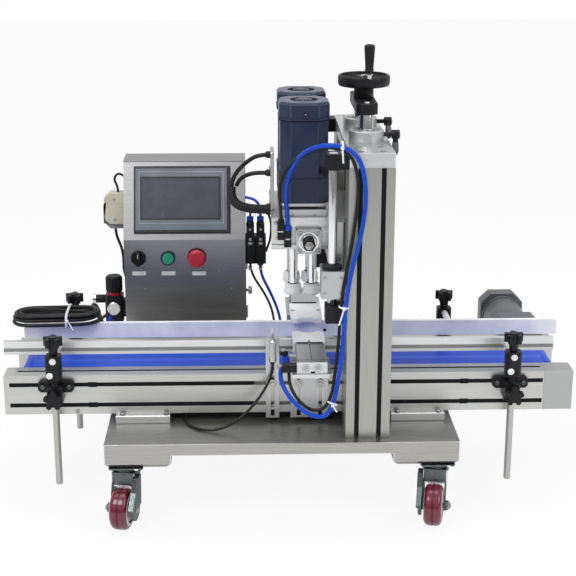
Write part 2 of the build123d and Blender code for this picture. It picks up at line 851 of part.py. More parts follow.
def front_jaw():
    x = (clamp_x - jaw_width / 2, clamp_x + jaw_width / 2)
    end_front = front_clamp_y + jaw_end_gap
    end_back = end_front + jaw_end
    low = front_clamp_top - clamp_height
    notch_y = front_jaw_tip + jaw_notch_radius - jaw_notch_depth
    end = block(x, (end_front, end_back), (low, front_clamp_top))
    nose = block(x, (end_back, front_jaw_tip), (front_clamp_top - front_jaw_nose, front_clamp_top))
    nose = chamfer(nose.edges().filter_by(Axis.Z).group_by(Axis.Y)[-1], jaw_corner)
    nose -= rod_z(clamp_x, notch_y, (low, front_clamp_top), jaw_notch_radius)
    jaw = end + nose
    for rod in jaw_rods(-1, front_clamp_y, front_clamp_top, end_front):
        jaw += rod
    return jaw


def rear_jaw():
    x = (clamp_x - jaw_width / 2, clamp_x + jaw_width / 2)
    end_back = rear_clamp_y - jaw_end_gap
    end_front = end_back - jaw_end
    low = rear_clamp_top - clamp_height
    notch_y = rear_jaw_tip - jaw_notch_radius + jaw_notch_depth
    end = block(x, (end_front, end_back), (low, rear_clamp_top))
    plate = block(x, (rear_jaw_tip, end_front), (rear_clamp_top - rear_jaw_thickness, rear_clamp_top))
    plate = chamfer(plate.edges().filter_by(Axis.Z).group_by(Axis.Y)[0], jaw_corner)
    plate -= rod_z(clamp_x, notch_y, (low, rear_clamp_top), jaw_notch_radius)
    jaw = end + plate
    for rod in jaw_rods(1, rear_clamp_y, rear_clamp_top, end_back):
        jaw += rod
    return jaw


def slotted(plate, x, z, y):
    return plate - block((x - bracket_slot_width / 2, x + bracket_slot_width / 2), y, z)


def clamp_bracket_piece(side, start, top):
    half = clamp_width / 2 + bracket_wider
    x = (clamp_x - half, clamp_x + half)
    high = top - clamp_height
    y = span(side * rail_out, side * (rail_out + clamp_bracket))
    upright = block(x, y, (bracket_foot, high))
    for offset in (-bracket_slot_offset, bracket_slot_offset):
        slot_z = (bracket_foot + bracket_slot_rise, high - bracket_slot_drop)
        upright = slotted(upright, clamp_x + offset, slot_z, y)
    shelf_end = abs(start) + clamp_length + shelf_overhang
    shelf_y = span(side * (rail_out + clamp_bracket), side * shelf_end)
    shelf = block(x, shelf_y, (high - clamp_bracket, high))
    return upright + shelf


def make_clamps():
    elbows = []
    half = side_fitting_size / 2
    for left, front, z in side_fittings:
        y = (front, front + side_fitting_size)
        elbow = block((left, clamp_x - clamp_width / 2), y, (z - half, z + half))
        elbows.append(chamfer(elbow.edges().filter_by(Axis.X), 2))
    save(
        "clamp_cylinders",
        clamp_cylinder(-1, front_clamp_y, front_clamp_top),
        clamp_cylinder(1, rear_clamp_y, rear_clamp_top),
        *elbows,
    )
    y = (-rail_out - clamp_bracket, -rail_out)
    plate = block(sensor_bracket, y, (bracket_foot, sensor_bracket_top))
    middle = sum(sensor_bracket) / 2
    plate = slotted(plate, middle, (bracket_foot + bracket_slot_rise, sensor_bracket_top - sensor_slot_drop), y)
    save(
        "slotted_brackets",
        plate,
        clamp_bracket_piece(-1, front_clamp_y, front_clamp_top),
        clamp_bracket_piece(1, rear_clamp_y, rear_clamp_top),
    )
    width, depth, height = sensor_size
    sensor_y = (y[0] - depth, y[0])
    sensor = block((middle - width / 2, middle + width / 2), sensor_y, (sensor_bottom, sensor_bottom + height))
    sensor = chamfer(sensor.edges().filter_by(Axis.Z), 2)
    save("photo_sensor", sensor)
    save("front_jaw", front_jaw())
    save("rear_jaw", rear_jaw())


# Bottle guide rails and their adjustable mounts
def guide_rail(side, guide, stations, face):
    left, right, low, high = guide
    y = span(side * face, side * (face + guide_thickness))
    rail = block((left, right), y, (low, high))
    recess_y = face + guide_thickness - rail_recess
    inset = span(side * recess_y, side * (face + guide_thickness))
    rail -= block((left, right), inset, (low + rail_flange, high - rail_flange))
    reach = span(side * recess_y, side * (mount_y + mount_depth / 2 + 1))
    return [rail] + [rod_y(x, reach, rail_rod_z, rail_rod_radius) for x in stations]


def mount_block(side, x):
    half = mount_width / 2
    y = span(side * (mount_y - mount_depth / 2 + 1), side * (mount_y + mount_depth / 2))
    shape = block((x - half, x + half), y, (mount_bottom, mount_top))
    shape = chamfer(shape.edges().filter_by(Axis.Z), 4)
    shape -= rod_y(x, y, rail_rod_z, rail_rod_radius + run_gap)
    rod_top = rail_rod_z - rail_rod_radius - mount_rod_cover
    shape -= rod_z(x, side * mount_y, (mount_bottom, rod_top), rail_rod_radius + seat_gap)
    upright = rod_z(x, side * mount_y, (mount_rod_bottom, rod_top), rail_rod_radius)
    knob = Pos(x, side * mount_y, mount_top) * star_knob(knob_radius, top_knob_height)
    return [shape, upright, knob]


def mount_base(side, x):
    half = mount_width / 2
    block_y = span(side * rail_out, side * (mount_y + mount_depth / 2))
    shape = block((x - half, x + half), block_y, (base_block_bottom, base_block_top))
    shape = chamfer(shape.edges().filter_by(Axis.Z), 3)
    slot_z = slot_heights[0]
    ear_y = span(side * rail_out, side * (rail_out + ear_thickness))
    ear_z = (slot_z - ear_height / 2, slot_z + ear_height / 2)
    ears = block((x - ear_width / 2, x + ear_width / 2), ear_y, ear_z)
    ears = chamfer(ears.edges().filter_by(Axis.Y), ear_corner)
    shape += ears
    shape -= rod_z(x, side * mount_y, (base_block_bottom, base_block_top), rail_rod_radius + run_gap)
    knob = Rot(-90 * side, 0, 0) * star_knob(knob_radius, base_knob_height)
    knob_place = Pos(x, side * (mount_y + mount_depth / 2), (base_block_bottom + base_block_top) / 2)
    return [shape, knob_place * knob]


def make_guides():
    rear_face = rail_face + rear_rail_back
    save("front_guide_rail", *guide_rail(-1, front_guide, front_stations, rail_face))
    save("rear_guide_rail", *guide_rail(1, rear_guide, rear_stations, rear_face))
    save("front_rail_mounts", *[piece for x in front_stations for piece in mount_block(-1, x)])
    save("rear_rail_mounts", *[piece for x in rear_stations for piece in mount_block(1, x)])
    bases = [piece for x in front_stations for piece in mount_base(-1, x)]
    bases += [piece for x in rear_stations for piece in mount_base(1, x)]
    save("rail_clamp_bases", *bases)


# Control box with its screen, buttons, valves and regulator
def box_outline(inset):
    slope = box_slope_y / (box_top - box_knee)
    knee = box_knee + inset * (1 - slope) * 0.4
    top = box_top - inset
    front_at_top = box_front + (top - box_knee) * slope
    return [
        (box_front + inset, deck_top + inset),
        (box_front + inset, knee),
        (front_at_top + inset * 1.1, top),
        (box_back - inset, top),
        (box_back - inset, deck_top + inset),
    ]


def panel_place():
    # A plane on the tilted panel: its origin at the knee, its y axis up the slope.
    out = Vector(0, box_knee - box_top, box_slope_y).normalized()
    return Plane(origin=(screen_x, box_front, box_knee), x_dir=(1, 0, 0), z_dir=out)


def make_control_box():
    box = prism_x(box_outline(0), (box_left, box_right))
    box -= prism_x(box_outline(box_wall), (box_left + box_wall, box_right - box_wall))
    panel = panel_place()
    middle = screen_rise + screen_height / 2
    cut_width = screen_width - 2 * screen_lap
    cut_height = screen_height - 2 * screen_lap
    box -= panel * Pos(0, middle, 0) * Box(cut_width, cut_height, 2 * screen_depth)
    for x in (selector_x, green_x, red_x):
        box -= rod_y(x, (box_front - 1, box_front + box_wall + 1), button_z, button_hole + run_gap)
    hood = block((box_left - hood_reach, box_left), hood_y, hood_z)
    hood = chamfer(hood.edges().filter_by(Axis.Y).group_by(Axis.X)[0], hood_corner)
    neck_end = box_right + lock_neck_length
    lock = rod_x((box_right, neck_end), lock_y, lock_z, lock_neck_radius)
    lock += rod_x((neck_end, neck_end + lock_knob_length), lock_y, lock_z, lock_knob_radius)
    save("control_box", box, hood, lock)

    bezel = Pos(0, middle, screen_proud / 2) * Box(screen_width, screen_height, screen_proud)
    bezel = chamfer(bezel.edges().group_by(Axis.Z)[-1], 2)
    back_width = cut_width - 4 * run_gap
    back_height = cut_height - 4 * run_gap
    body = Pos(0, middle, -screen_depth / 2) * Box(back_width, back_height, screen_depth)
    save("touch_screen", panel * (bezel + body))


def push_button(x, cap_radius, cap_length, flare):
    # The shank runs in the panel hole and a cap stands proud of the panel.
    cap_back = box_front - button_travel_gap
    shank = rod_y(x, (cap_back, box_front + box_wall + button_shank), button_z, button_hole)
    cap = rod_y(x, (cap_back - cap_length, cap_back), button_z, cap_radius)
    if flare:
        cap = fillet(cap.edges().group_by(Axis.Y)[0], cap_length * 0.45)
    return shank + cap


def make_buttons():
    save("green_button", push_button(green_x, green_cap_radius, green_cap_length, False))
    save("red_button", push_button(red_x, red_cap_radius, red_cap_length, True))
    width, length, height = selector_handle
    collar_front = box_front - selector_collar_length
    selector = rod_y(selector_x, (collar_front, box_front + box_wall + button_shank), button_z, button_hole)
    selector += rod_y(selector_x, (collar_front, box_front - face_gap), button_z, selector_collar_radius)
    selector += block(
        (selector_x - width / 2, selector_x + width / 2),
        (collar_front - length, collar_front),
        (button_z - height / 2, button_z + height / 2),
    )
    save("selector_switch", selector)


def make_air_parts():
    pieces = []
    low, high = valve_z
    plug_top = high + valve_plug_height
    plug_y = (valve_y[0] + valve_plug_inset, valve_y[1] - valve_plug_inset)
    for index in range(2):
        left = box_right + index * valve_pitch
        plug_left = left + valve_plug_inset
        body = block((left, left + valve_pitch), valve_y, valve_z)
        plug = block((plug_left, plug_left + valve_plug_width), plug_y, (high, plug_top))
        fitting_x = plug_left + valve_plug_width / 2
        fitting = rod_z(fitting_x, sum(valve_y) / 2, (plug_top, plug_top + valve_fitting_height), valve_fitting_radius)
        pieces += [chamfer(body.edges().filter_by(Axis.Z), 1.5), plug, fitting]
    save("valve_bank", *pieces)

    x = box_left - regulator_offset
    y = regulator_y
    half = regulator_size / 2
    low, high = regulator_z
    body = block((x - half, x + half), (y - half, y + half), regulator_z)
    body = chamfer(body.edges().filter_by(Axis.Z), 5)
    bowl = rod_z(x, y, (low - bowl_depth, low), bowl_radius)
    bowl = fillet(bowl.edges().group_by(Axis.Z)[0], bowl_radius / 2)
    neck_top = high + regulator_neck_height
    neck = rod_z(x, y, (high, neck_top), regulator_neck_radius)
    arm_width, arm_low, arm_high = regulator_arm
    arm = block((x + half, box_left), (y - arm_width / 2, y + arm_width / 2), (arm_low, arm_high))
    inlet = rod_x((x - half - inlet_length, x - half), y, inlet_z, inlet_radius)
    save("air_regulator", body + neck, bowl, arm, inlet)
    knob_bottom = neck_top + face_gap
    knob = rod_z(x, y, (knob_bottom, knob_bottom + regulator_knob_height), regulator_knob_radius)
    knob = chamfer(knob.edges().group_by(Axis.Z)[-1], 3)
    save("regulator_knob", knob)


# Hoses and cables: straight runs joined by tangent arcs
def tube(points, radius):
    path = FilletPolyline(*points, radius=route_radii(points))
    start = path @ 0
    section = Plane(origin=start, z_dir=path % 0) * Circle(radius)
    shape = sweep(section, path=path)
    share = shape.volume / (3.14159265 * radius * radius * path.length)
    print("tube length", round(path.length), "volume share", round(share, 3))
    return shape


def route_radii(points):
    radii = []
    for before, here, after in zip(points, points[1:], points[2:]):
        first = Vector(here) - Vector(before)
        second = Vector(after) - Vector(here)
        shorter = min(first.length, second.length)
        turn = first.get_angle(second)
        radii.append(0.45 * shorter / tan(radians(turn) / 2))
    print("radii", [round(radius) for radius in radii])
    return radii


blue_hose_radius = 4
blue_hose_route = [
    (-30, -118, 276),
    (-30, -118, 300),
    (-35, -125, 340),
    (-28, -132, 376),
    (-14, -152, 406),
    (4, -188, 429),
    (30, -218, 441),
    (60, -222, 440),
    (82, -222, 423),
    (92, -222, 392),
    (95, -219, 352),
    (91, -219, 312),
    (82, -219, 272),
    (72, -219, 232),
    (64, -219, 192),
    (59, -220, 152),
    (57, -221, 112),
    (55, -223, 72),
    (50, -228, 30),
    (41, -234, -5),
    (28, -238, -27),
    (10, -238, -29),
    (-8, -238, -20),
    (-24, -236, -6),
    (-37, -226, 10),
    (-45, -208, 24),
    (-45, -188, 35),
    (-39, -171, 42),
    (-34, -160, 43),
    (-34, -148, 43),
]
black_hose_radius = 3
black_hose_route = [
    (-42, -118, 290),
    (-42, -118, 314),
    (-47, -126, 348),
    (-40, -134, 382),
    (-24, -152, 412),
    (-2, -184, 436),
    (26, -212, 452),
    (56, -214, 451),
    (78, -213, 436),
    (88, -212, 404),
    (85, -210, 366),
    (80, -209, 326),
    (73, -209, 286),
    (65, -210, 246),
    (59, -211, 206),
    (54, -212, 166),
    (51, -213, 126),
    (49, -215, 86),
    (44, -218, 44),
    (38, -224, 8),
    (24, -228, -15),
    (6, -227, -20),
    (-10, -224, -12),
    (-23, -215, 0),
    (-29, -203, 11),
    (-30, -194, 23),
    (-30, -194, 38),
]

sensor_cable_radius = 2.5
sensor_cable_route = [
    (-57.5, -124, 30),
    (-57.5, -124, 14),
    (-62, -127, -4),
    (-73, -135, -22),
    (-88, -144, -42),
    (-107, -154, -60),
    (-130, -163, -76),
    (-157, -167, -87),
    (-184, -163, -89.2),
    (-205, -148, -89.2),
    (-218, -125, -89.2),
    (-223, -97, -89.2),
    (-222, -60, -89.2),
    (-217, -15, -89.2),
    (-214, 35, -89.2),
    (-215, 88, -89.2),
    (-219, 145, -89.2),
    (-221, 200, -89),
    (-220, 240, -85),
    (-218, 272, -80),
    (-218, 311, -80),
]
bundle_radius = 9
bundle_route = [
    (-59, -25, 292),
    (-82, -25, 292),
    (-104, -22, 294),
    (-122, -18, 300),
    (-132, -11, 314),
    (-131, -5, 330),
]
bundle_cable_radius = 4
upper_cable_route = [
    (-131, -5, 330),
    (-129, -3, 344),
    (-118, -4, 362),
    (-100, -9, 380),
    (-80, -18, 393),
    (-59, -18, 393),
]
lower_cable_route = [
    (-122, 2, 330),
    (-117, 3, 341),
    (-104, 1, 351),
    (-87, -4, 356),
    (-74, -8, 357),
    (-59, -8, 357),
]
cord_radius = 3.5
hank_outline = [
    (-562, 32),
    (-546, 8),
    (-470, 14),
    (-392, 27),
    (-384, 40),
    (-384, 76),
    (-398, 98),
    (-545, 98),
    (-562, 82),
]
hank_bottom = 50.4
hank_top = 77
cord_lead_route = [
    (-412, 98, 64),
    (-411, 126, 63),
    (-408, 153, 53),
    (-406, 182, 33),
    (-408, 213, 9),
    (-412, 247, -16),
    (-418, 283, -36),
    (-424, 321, -48),
    (-427, 360, -52),
    (-420, 394, -50),
    (-402, 416, -46),
    (-381, 423, -45),
    (-363, 423, -45),
]
cord_tail_route = [
    (-425, 98, 57),
    (-423, 121, 56),
    (-413, 143, 44),
    (-399, 159, 19),
    (-383, 170, -13),
    (-366, 179, -45),
    (-352, 191, -69),
    (-343, 209, -80),
    (-340, 232, -80),
]
plug_size = (22, 46, 24)


def make_hoses():
    save("blue_air_hose", tube(blue_hose_route, blue_hose_radius))
    save("black_air_hose", tube(black_hose_route, black_hose_radius))
    save("sensor_cable", tube(sensor_cable_route, sensor_cable_radius))
    bundle = tube(bundle_route, bundle_radius)
    upper = tube(upper_cable_route, bundle_cable_radius)
    lower = tube(lower_cable_route, bundle_cable_radius)
    save("head_cable_bundle", bundle, upper, lower)
    hank = prism_z(Polygon(*hank_outline, align=None), (hank_bottom, hank_top))
    hank = chamfer(hank.edges().group_by(Axis.Z)[-1], 6)
    plug_x, plug_y, plug_z = cord_tail_route[-1]
    width, length, height = plug_size
    low = deck_top + 0.2
    plug = block((plug_x - width / 2, plug_x + width / 2), (plug_y, plug_y + length), (low, low + height))
    plug = chamfer(plug.edges().filter_by(Axis.Y), 4)
    lead = tube(cord_lead_route, cord_radius)
    tail = tube(cord_tail_route, cord_radius)
    save("power_cord", hank, lead, tail, plug)


make_casters()
make_conveyor()
make_belt_drive()
make_portal()
save("front_clamp_lever", clamp_lever(-1, 0))
save("rear_clamp_lever", clamp_lever(1, -45))
make_head()
make_handwheel()
for motor_name, motor_sign in (("front", -1), ("rear", 1)):
    save(motor_name + "_motor", *make_motor(motor_sign))
    save(motor_name + "_carriage", make_carriage(motor_sign))
    for wheel_name, wheel_sign in (("left", -1), ("right", 1)):
        wheel_x = wheel_sign * spindle_offset_x
        wheel_y = motor_sign * spindle_offset_y
        save(motor_name + "_" + wheel_name + "_capping_wheel", *make_spindle(wheel_x, wheel_y))
make_head_cylinder()
make_clamps()
make_guides()
make_control_box()
make_buttons()
make_air_parts()
make_hoses()
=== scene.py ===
import math

import bmesh
import bpy
from mathutils import Matrix, Vector


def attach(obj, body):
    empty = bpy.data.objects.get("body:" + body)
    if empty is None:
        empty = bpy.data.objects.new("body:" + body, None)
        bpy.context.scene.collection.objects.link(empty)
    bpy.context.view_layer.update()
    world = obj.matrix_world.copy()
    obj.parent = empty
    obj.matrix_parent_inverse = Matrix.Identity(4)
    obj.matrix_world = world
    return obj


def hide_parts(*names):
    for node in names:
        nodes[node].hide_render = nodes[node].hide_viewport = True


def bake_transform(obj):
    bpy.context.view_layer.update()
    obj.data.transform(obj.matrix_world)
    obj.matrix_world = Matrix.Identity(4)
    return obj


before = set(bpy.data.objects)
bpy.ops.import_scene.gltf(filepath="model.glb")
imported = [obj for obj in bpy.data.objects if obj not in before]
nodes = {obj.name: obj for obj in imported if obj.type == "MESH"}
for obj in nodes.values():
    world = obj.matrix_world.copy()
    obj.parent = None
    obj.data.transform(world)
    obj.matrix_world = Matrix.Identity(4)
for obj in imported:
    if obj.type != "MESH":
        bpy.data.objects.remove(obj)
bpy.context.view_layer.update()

MM = 0.001

# Sizes and places of the frame that the details go by, in millimetres
DECK = -92.0
RAIL_OUT = 110.0
RAIL_LEFT = -531.0
RAIL_RIGHT = 447.0
RAIL_SLOTS = (-18.0, -58.0)
RAIL_TOP_SLOT = 84.7
COLUMN_X = 112.0
COLUMN_Y = 160
COLUMN_HALF = 40
COLUMN_TOP = 405.0
PLATE_TOP = 430.0
SHAFT_X = 46
SHAFT_Y = 180
POST_Y = 68
MOTOR_Y = 60
SPINDLES_X = {"left": -17.5, "right": 17.5}
SPINDLE_Y = 40
BOX_LEFT = -363
BOX_FRONT = 311
BOX_BACK = 453
BUTTONS_Z = 107
VALVES_X = (-95.5, -73.5)
VALVES_Y = 334
CASTERS = {
    "front_left": (-324, -192), "front_right": (240, -192),
    "rear_left": (-324, 431), "rear_right": (240, 431),
}
CASTER_TURN = -11.5
WHEEL_Y = -37
WHEEL_Z = -212
SENSOR_X = -57.5
REGULATOR = (-389, 340)
HEAD_STOP = (7, 256.5)

# Directions
UP = (0, 0, 1)
DOWN = (0, 0, -1)
LEFT = (-1, 0, 0)
RIGHT = (1, 0, 0)
FRONT = (0, -1, 0)
BACK = (0, 1, 0)


def span(middle, half):
    return middle - half, middle + half


def in_metres(point):
    return tuple(value / 1000 for value in point)


def add_object(name, data):
    piece = bpy.data.objects.new(name, data)
    bpy.context.scene.collection.objects.link(piece)
    return piece


# Materials
def add_node(tree, kind, **sockets):
    node = tree.nodes.new(kind)
    set_sockets(node, sockets)
    return node


def set_sockets(node, sockets):
    for socket, value in sockets.items():
        node.inputs[socket.replace("_", " ")].default_value = value


def map_range(tree, value, start, end, low=0.0, high=1.0):
    # Runs from low to high while the value runs from start to end.
    remap = add_node(tree, "ShaderNodeMapRange", From_Min=start, From_Max=end, To_Min=low, To_Max=high)
    tree.links.new(value, remap.inputs["Value"])
    return remap.outputs["Result"]


def base_material(name, color, rough, metal=0.0, **sockets):
    material = bpy.data.materials.new(name)
    material.use_nodes = True
    shader = material.node_tree.nodes["Principled BSDF"]
    set_sockets(shader, {"Base_Color": (*color, 1.0), "Roughness": rough, "Metallic": metal, **sockets})
    return material


def noise_value(tree, scale, stretch, detail=3.0):
    place = add_node(tree, "ShaderNodeTexCoord")
    mapping = add_node(tree, "ShaderNodeMapping", Scale=stretch)
    noise = add_node(tree, "ShaderNodeTexNoise", Scale=scale, Detail=detail)
    tree.links.new(place.outputs["Object"], mapping.inputs["Vector"])
    tree.links.new(mapping.outputs["Vector"], noise.inputs["Vector"])
    return noise.outputs["Fac"]


def vary_color(material, low, high, scale, stretch=(1, 1, 1)):
    # The base colour runs between low and high times itself.
    tree = material.node_tree
    base = tree.nodes["Principled BSDF"].inputs["Base Color"]
    color = base.default_value[:3]
    ramp = add_node(tree, "ShaderNodeValToRGB")
    for stop, position, share in zip(ramp.color_ramp.elements, (0.35, 0.65), (low, high)):
        stop.position = position
        stop.color = (*[min(1, c * share) for c in color], 1)
    tree.links.new(noise_value(tree, scale, stretch), ramp.inputs["Fac"])
    tree.links.new(ramp.outputs["Color"], base)


def vary_rough(material, low, high, scale, stretch=(1, 1, 1)):
    tree = material.node_tree
    rough = map_range(tree, noise_value(tree, scale, stretch), 0.3, 0.7, low, high)
    tree.links.new(rough, tree.nodes["Principled BSDF"].inputs["Roughness"])


def add_bump(material, strength, scale, stretch=(1, 1, 1), distance=0.0002):
    tree = material.node_tree
    bump = add_node(tree, "ShaderNodeBump", Strength=strength, Distance=distance)
    tree.links.new(noise_value(tree, scale, stretch, 4.0), bump.inputs["Height"])
    tree.links.new(bump.outputs["Normal"], tree.nodes["Principled BSDF"].inputs["Normal"])


def brushed(name, color, rough, stretch, contrast, metal=1.0):
    material = base_material(name, color, rough, metal)
    vary_color(material, 1 - contrast, 1 + contrast, 6.0, stretch)
    vary_rough(material, rough - 0.06, rough + 0.08, 5.0, stretch)
    add_bump(material, 0.12, 9.0, stretch, 0.0001)
    return material


def moulded(name, color, rough, grain, **sockets):
    material = base_material(name, color, rough, **sockets)
    vary_color(material, 0.88, 1.14, 14.0)
    vary_rough(material, rough - 0.06, rough + 0.08, 60.0)
    add_bump(material, grain, 900.0)
    return material


def rubbed(name, color, rough, **sockets):
    # A smooth belt: its colour changes only a little, in long streaks.
    material = base_material(name, color, rough, **sockets)
    vary_color(material, 0.93, 1.06, 3.0, (1, 12, 12))
    add_bump(material, 0.05, 1600.0, distance=0.00005)
    return material


def painted(name, color, rough):
    material = base_material(name, color, rough, Coat_Weight=0.08, Specular_IOR_Level=0.35)
    vary_color(material, 0.92, 1.08, 9.0)
    add_bump(material, 0.10, 700.0)
    return material


ALONG_X = (2, 130, 130)
ALONG_Y = (130, 2, 130)
ALONG_Z = (130, 130, 2)
EVEN = (90, 90, 90)
MAT = {
    "deck": brushed("deck_stainless", (0.42, 0.415, 0.395), 0.30, ALONG_X, 0.07, 0.88),
    "box": brushed("box_stainless", (0.37, 0.37, 0.375), 0.34, ALONG_X, 0.08),
    "rail": brushed("rail_aluminium", (0.60, 0.605, 0.59), 0.38, ALONG_X, 0.05),
    # a dark copy of aluminium: painted shade in the front guide's recess
    "recess_shade": brushed("aluminium_painted_shade", (0.30, 0.30, 0.30), 0.42, ALONG_X, 0.05),
    "guide": brushed("guide_aluminium", (0.80, 0.805, 0.81), 0.36, ALONG_X, 0.04),
    "end": brushed("end_aluminium", (0.50, 0.51, 0.505), 0.46, EVEN, 0.04),
    "collar": brushed("collar_aluminium", (0.56, 0.57, 0.575), 0.50, ALONG_X, 0.08, 0.85),
    "column": brushed("column_aluminium", (0.43, 0.43, 0.405), 0.36, ALONG_Z, 0.05),
    "plate": brushed("plate_aluminium", (0.68, 0.69, 0.70), 0.30, ALONG_X, 0.07),
    "cast": brushed("machined_aluminium", (0.54, 0.55, 0.56), 0.34, ALONG_Y, 0.06),
    # painted highlight: a bright metal for bevelled edges, where highlights fall
    "edge": brushed("painted_edge_highlight", (0.86, 0.86, 0.86), 0.24, EVEN, 0.04),
    "chrome": brushed("chrome", (0.84, 0.84, 0.85), 0.12, EVEN, 0.03),
    "steel": brushed("turned_steel", (0.50, 0.49, 0.47), 0.30, ALONG_Z, 0.05),
    "bolt": brushed("bolt_steel", (0.42, 0.42, 0.42), 0.32, EVEN, 0.06),
    "brass": brushed("brass", (0.80, 0.66, 0.40), 0.25, EVEN, 0.05),
    "zinc": brushed("dark_zinc", (0.13, 0.155, 0.155), 0.34, (60, 60, 60), 0.2),
    "belt": rubbed("belt_blue", (0.008, 0.072, 0.62), 0.36, Specular_IOR_Level=0.3),
    "belt_seam": rubbed("belt_seam_blue", (0.030, 0.130, 0.75), 0.36, Specular_IOR_Level=0.3),
    "navy": painted("motor_navy", (0.012, 0.023, 0.062), 0.34),
    # a lighter copy of the navy paint: the lid's top, and a painted highlight on the motors' bevelled edges
    "navy_lid_and_edge_highlight": painted("navy_lid_and_edge_highlight", (0.045, 0.062, 0.115), 0.30),
    "grey": painted("motor_grey", (0.115, 0.12, 0.135), 0.42),
    "black": moulded("black_plastic", (0.007, 0.007, 0.009), 0.42, 0.12, Specular_IOR_Level=0.3),
    "soft_black": moulded("black_sheath", (0.008, 0.008, 0.009), 0.42, 0.08, Specular_IOR_Level=0.35),
    # near black: painted shade in gaps, slits, vents, seams and holes, and the black strips in the
    # profiles' slots
    "shade_and_black": moulded("painted_shade_and_black_strip", (0.005, 0.006, 0.007), 0.55, 0.1, Specular_IOR_Level=0.15),
    "white": moulded("white_plastic", (0.86, 0.87, 0.915), 0.32, 0.04),
    "jaw": moulded("jaw_white", (0.84, 0.85, 0.87), 0.38, 0.04),
    "cap_rubber": moulded("capping_rubber", (0.80, 0.82, 0.84), 0.45, 0.06),
    "maroon": moulded("tyre_maroon", (0.15, 0.004, 0.022), 0.20, 0.03, Coat_Weight=0.6),
    "maroon_dark": moulded("tyre_band", (0.075, 0.005, 0.016), 0.28, 0.04),
    "rim": moulded("wheel_rim", (0.62, 0.56, 0.54), 0.38, 0.04),
    "bezel": moulded("bezel_grey", (0.155, 0.180, 0.220), 0.40, 0.04),
    "bezel_line": moulded("bezel_line", (0.36, 0.40, 0.48), 0.40, 0.02),
    "bezel_dark": moulded("bezel_dark", (0.020, 0.023, 0.030), 0.32, 0.06),
    "screen": moulded("screen_glass", (0.058, 0.066, 0.088), 0.20, 0.01, Coat_Weight=0.3),
    "green": moulded("button_green", (0.010, 0.36, 0.20), 0.26, 0.03, Coat_Weight=0.4),
    "red": moulded("button_red", (0.50, 0.008, 0.030), 0.24, 0.03, Coat_Weight=0.4),
    "legend": moulded("legend_white", (0.80, 0.80, 0.80), 0.45, 0.03),
    "blue_hose": moulded("hose_blue", (0.003, 0.060, 0.50), 0.30, 0.02, Specular_IOR_Level=0.25),
    "beige": moulded("hood_beige", (0.60, 0.56, 0.44), 0.45, 0.06),
    "tie": moulded("tie_white", (0.75, 0.78, 0.85), 0.35, 0.02),
}


def bevel_edges(piece, width):
    edge = piece.modifiers.new("edge", "BEVEL")
    edge.width = width * MM
    edge.segments = 2
    edge.limit_method = "ANGLE"
    edge.angle_limit = math.radians(40)
    edge.harden_normals = True
    return edge


def dress(look, name, bevel, highlight_look=None):
    # The node's own faces take the look; the narrow faces of its bevelled edges may take a painted
    # highlight look.
    node = nodes[name]
    node.data.materials.clear()
    node.data.materials.append(MAT[look])
    if highlight_look:
        node.data.materials.append(MAT[highlight_look])
    if not bevel:
        return
    weld = node.modifiers.new("weld", "WELD")
    weld.merge_threshold = 0.00001
    edge = bevel_edges(node, bevel)
    if highlight_look:
        edge.material = 1


# Each look, the bevel's width, the painted highlight look of the edges and the nodes that take them
CAD_LOOKS = [
    ("deck", 1.2, "edge", ["base_tray"]),
    ("box", 0.9, "edge", ["control_box"]),
    ("rail", 0.6, "edge", ["conveyor_frame"]),
    ("guide", 0.6, "edge", ["front_guide_rail", "conveyor_feet"]),
    ("column", 0.6, None, ["columns"]),
    ("plate", 1.0, "edge", ["top_plate"]),
    ("collar", 0.8, None, ["clamp_collars"]),
    ("cast", 0.6, "edge", ["slotted_brackets", "clamp_cylinders", "head_beam", "head_cylinder"]),
    ("cast", 0.6, "edge", ["photo_sensor", "front_carriage", "rear_carriage"]),
    ("belt", 0.4, None, ["conveyor_belt"]),
    ("grey", 0.8, None, ["conveyor_gearmotor"]),
    ("navy", 1.0, "navy_lid_and_edge_highlight", ["front_motor", "rear_motor"]),
    ("black", 0.8, None, ["guide_shaft_blocks", "lift_yoke", "handwheel", "handwheel_grip"]),
    ("black", 0.6, None, ["front_clamp_lever", "rear_clamp_lever", "rail_clamp_bases"]),
    ("black", 0.6, None, ["front_rail_mounts", "rear_rail_mounts", "valve_bank", "air_regulator"]),
    ("black", 0.6, None, ["regulator_knob", "selector_switch"]),
    ("white", 1.5, None, ["rear_guide_rail"]),
    ("jaw", 0.8, None, ["front_jaw", "rear_jaw"]),
    ("chrome", 0.4, None, ["guide_shafts", "lift_posts"]),
    ("steel", 0.4, None, ["drive_roller", "idler_roller"]),
    ("bezel_dark", 0.8, None, ["touch_screen"]),
    ("green", 0.8, None, ["green_button"]),
    ("red", 0.4, None, ["red_button"]),
    ("zinc", 0.5, "edge", ["caster_plates"] + [corner + "_caster_fork" for corner in CASTERS]),
    ("maroon", 0.0, None, [corner + "_caster_wheel" for corner in CASTERS]),
    ("cap_rubber", 0.4, None, [corner + "_capping_wheel" for corner in CASTERS]),
]
for look, bevel, highlight_look, names in CAD_LOOKS:
    for name in names:
        dress(look, name, bevel, highlight_look)


# Mesh helpers: every shape is given in millimetres of the part frame
def join_rings(bm, low, high):
    # The faces between two rings of points; a ring of one point is a tip.
    count = max(len(low), len(high))
    for step in range(count if count > 1 else 0):
        after = (step + 1) % count
        below = [low[step % len(low)], low[after % len(low)]]
        above = [high[after % len(high)], high[step % len(high)]]
        bm.faces.new(list(dict.fromkeys(below + above)))


def mesh_object(bm, name, looks, smooth):
    mesh = bpy.data.meshes.new(name)
    bm.to_mesh(mesh)
    bm.free()
    for look in looks:
        mesh.materials.append(MAT[look])
    for face in mesh.polygons:
        face.use_smooth = True
    mesh.set_sharp_from_angle(angle=math.radians(smooth))
    return add_object(name, mesh)


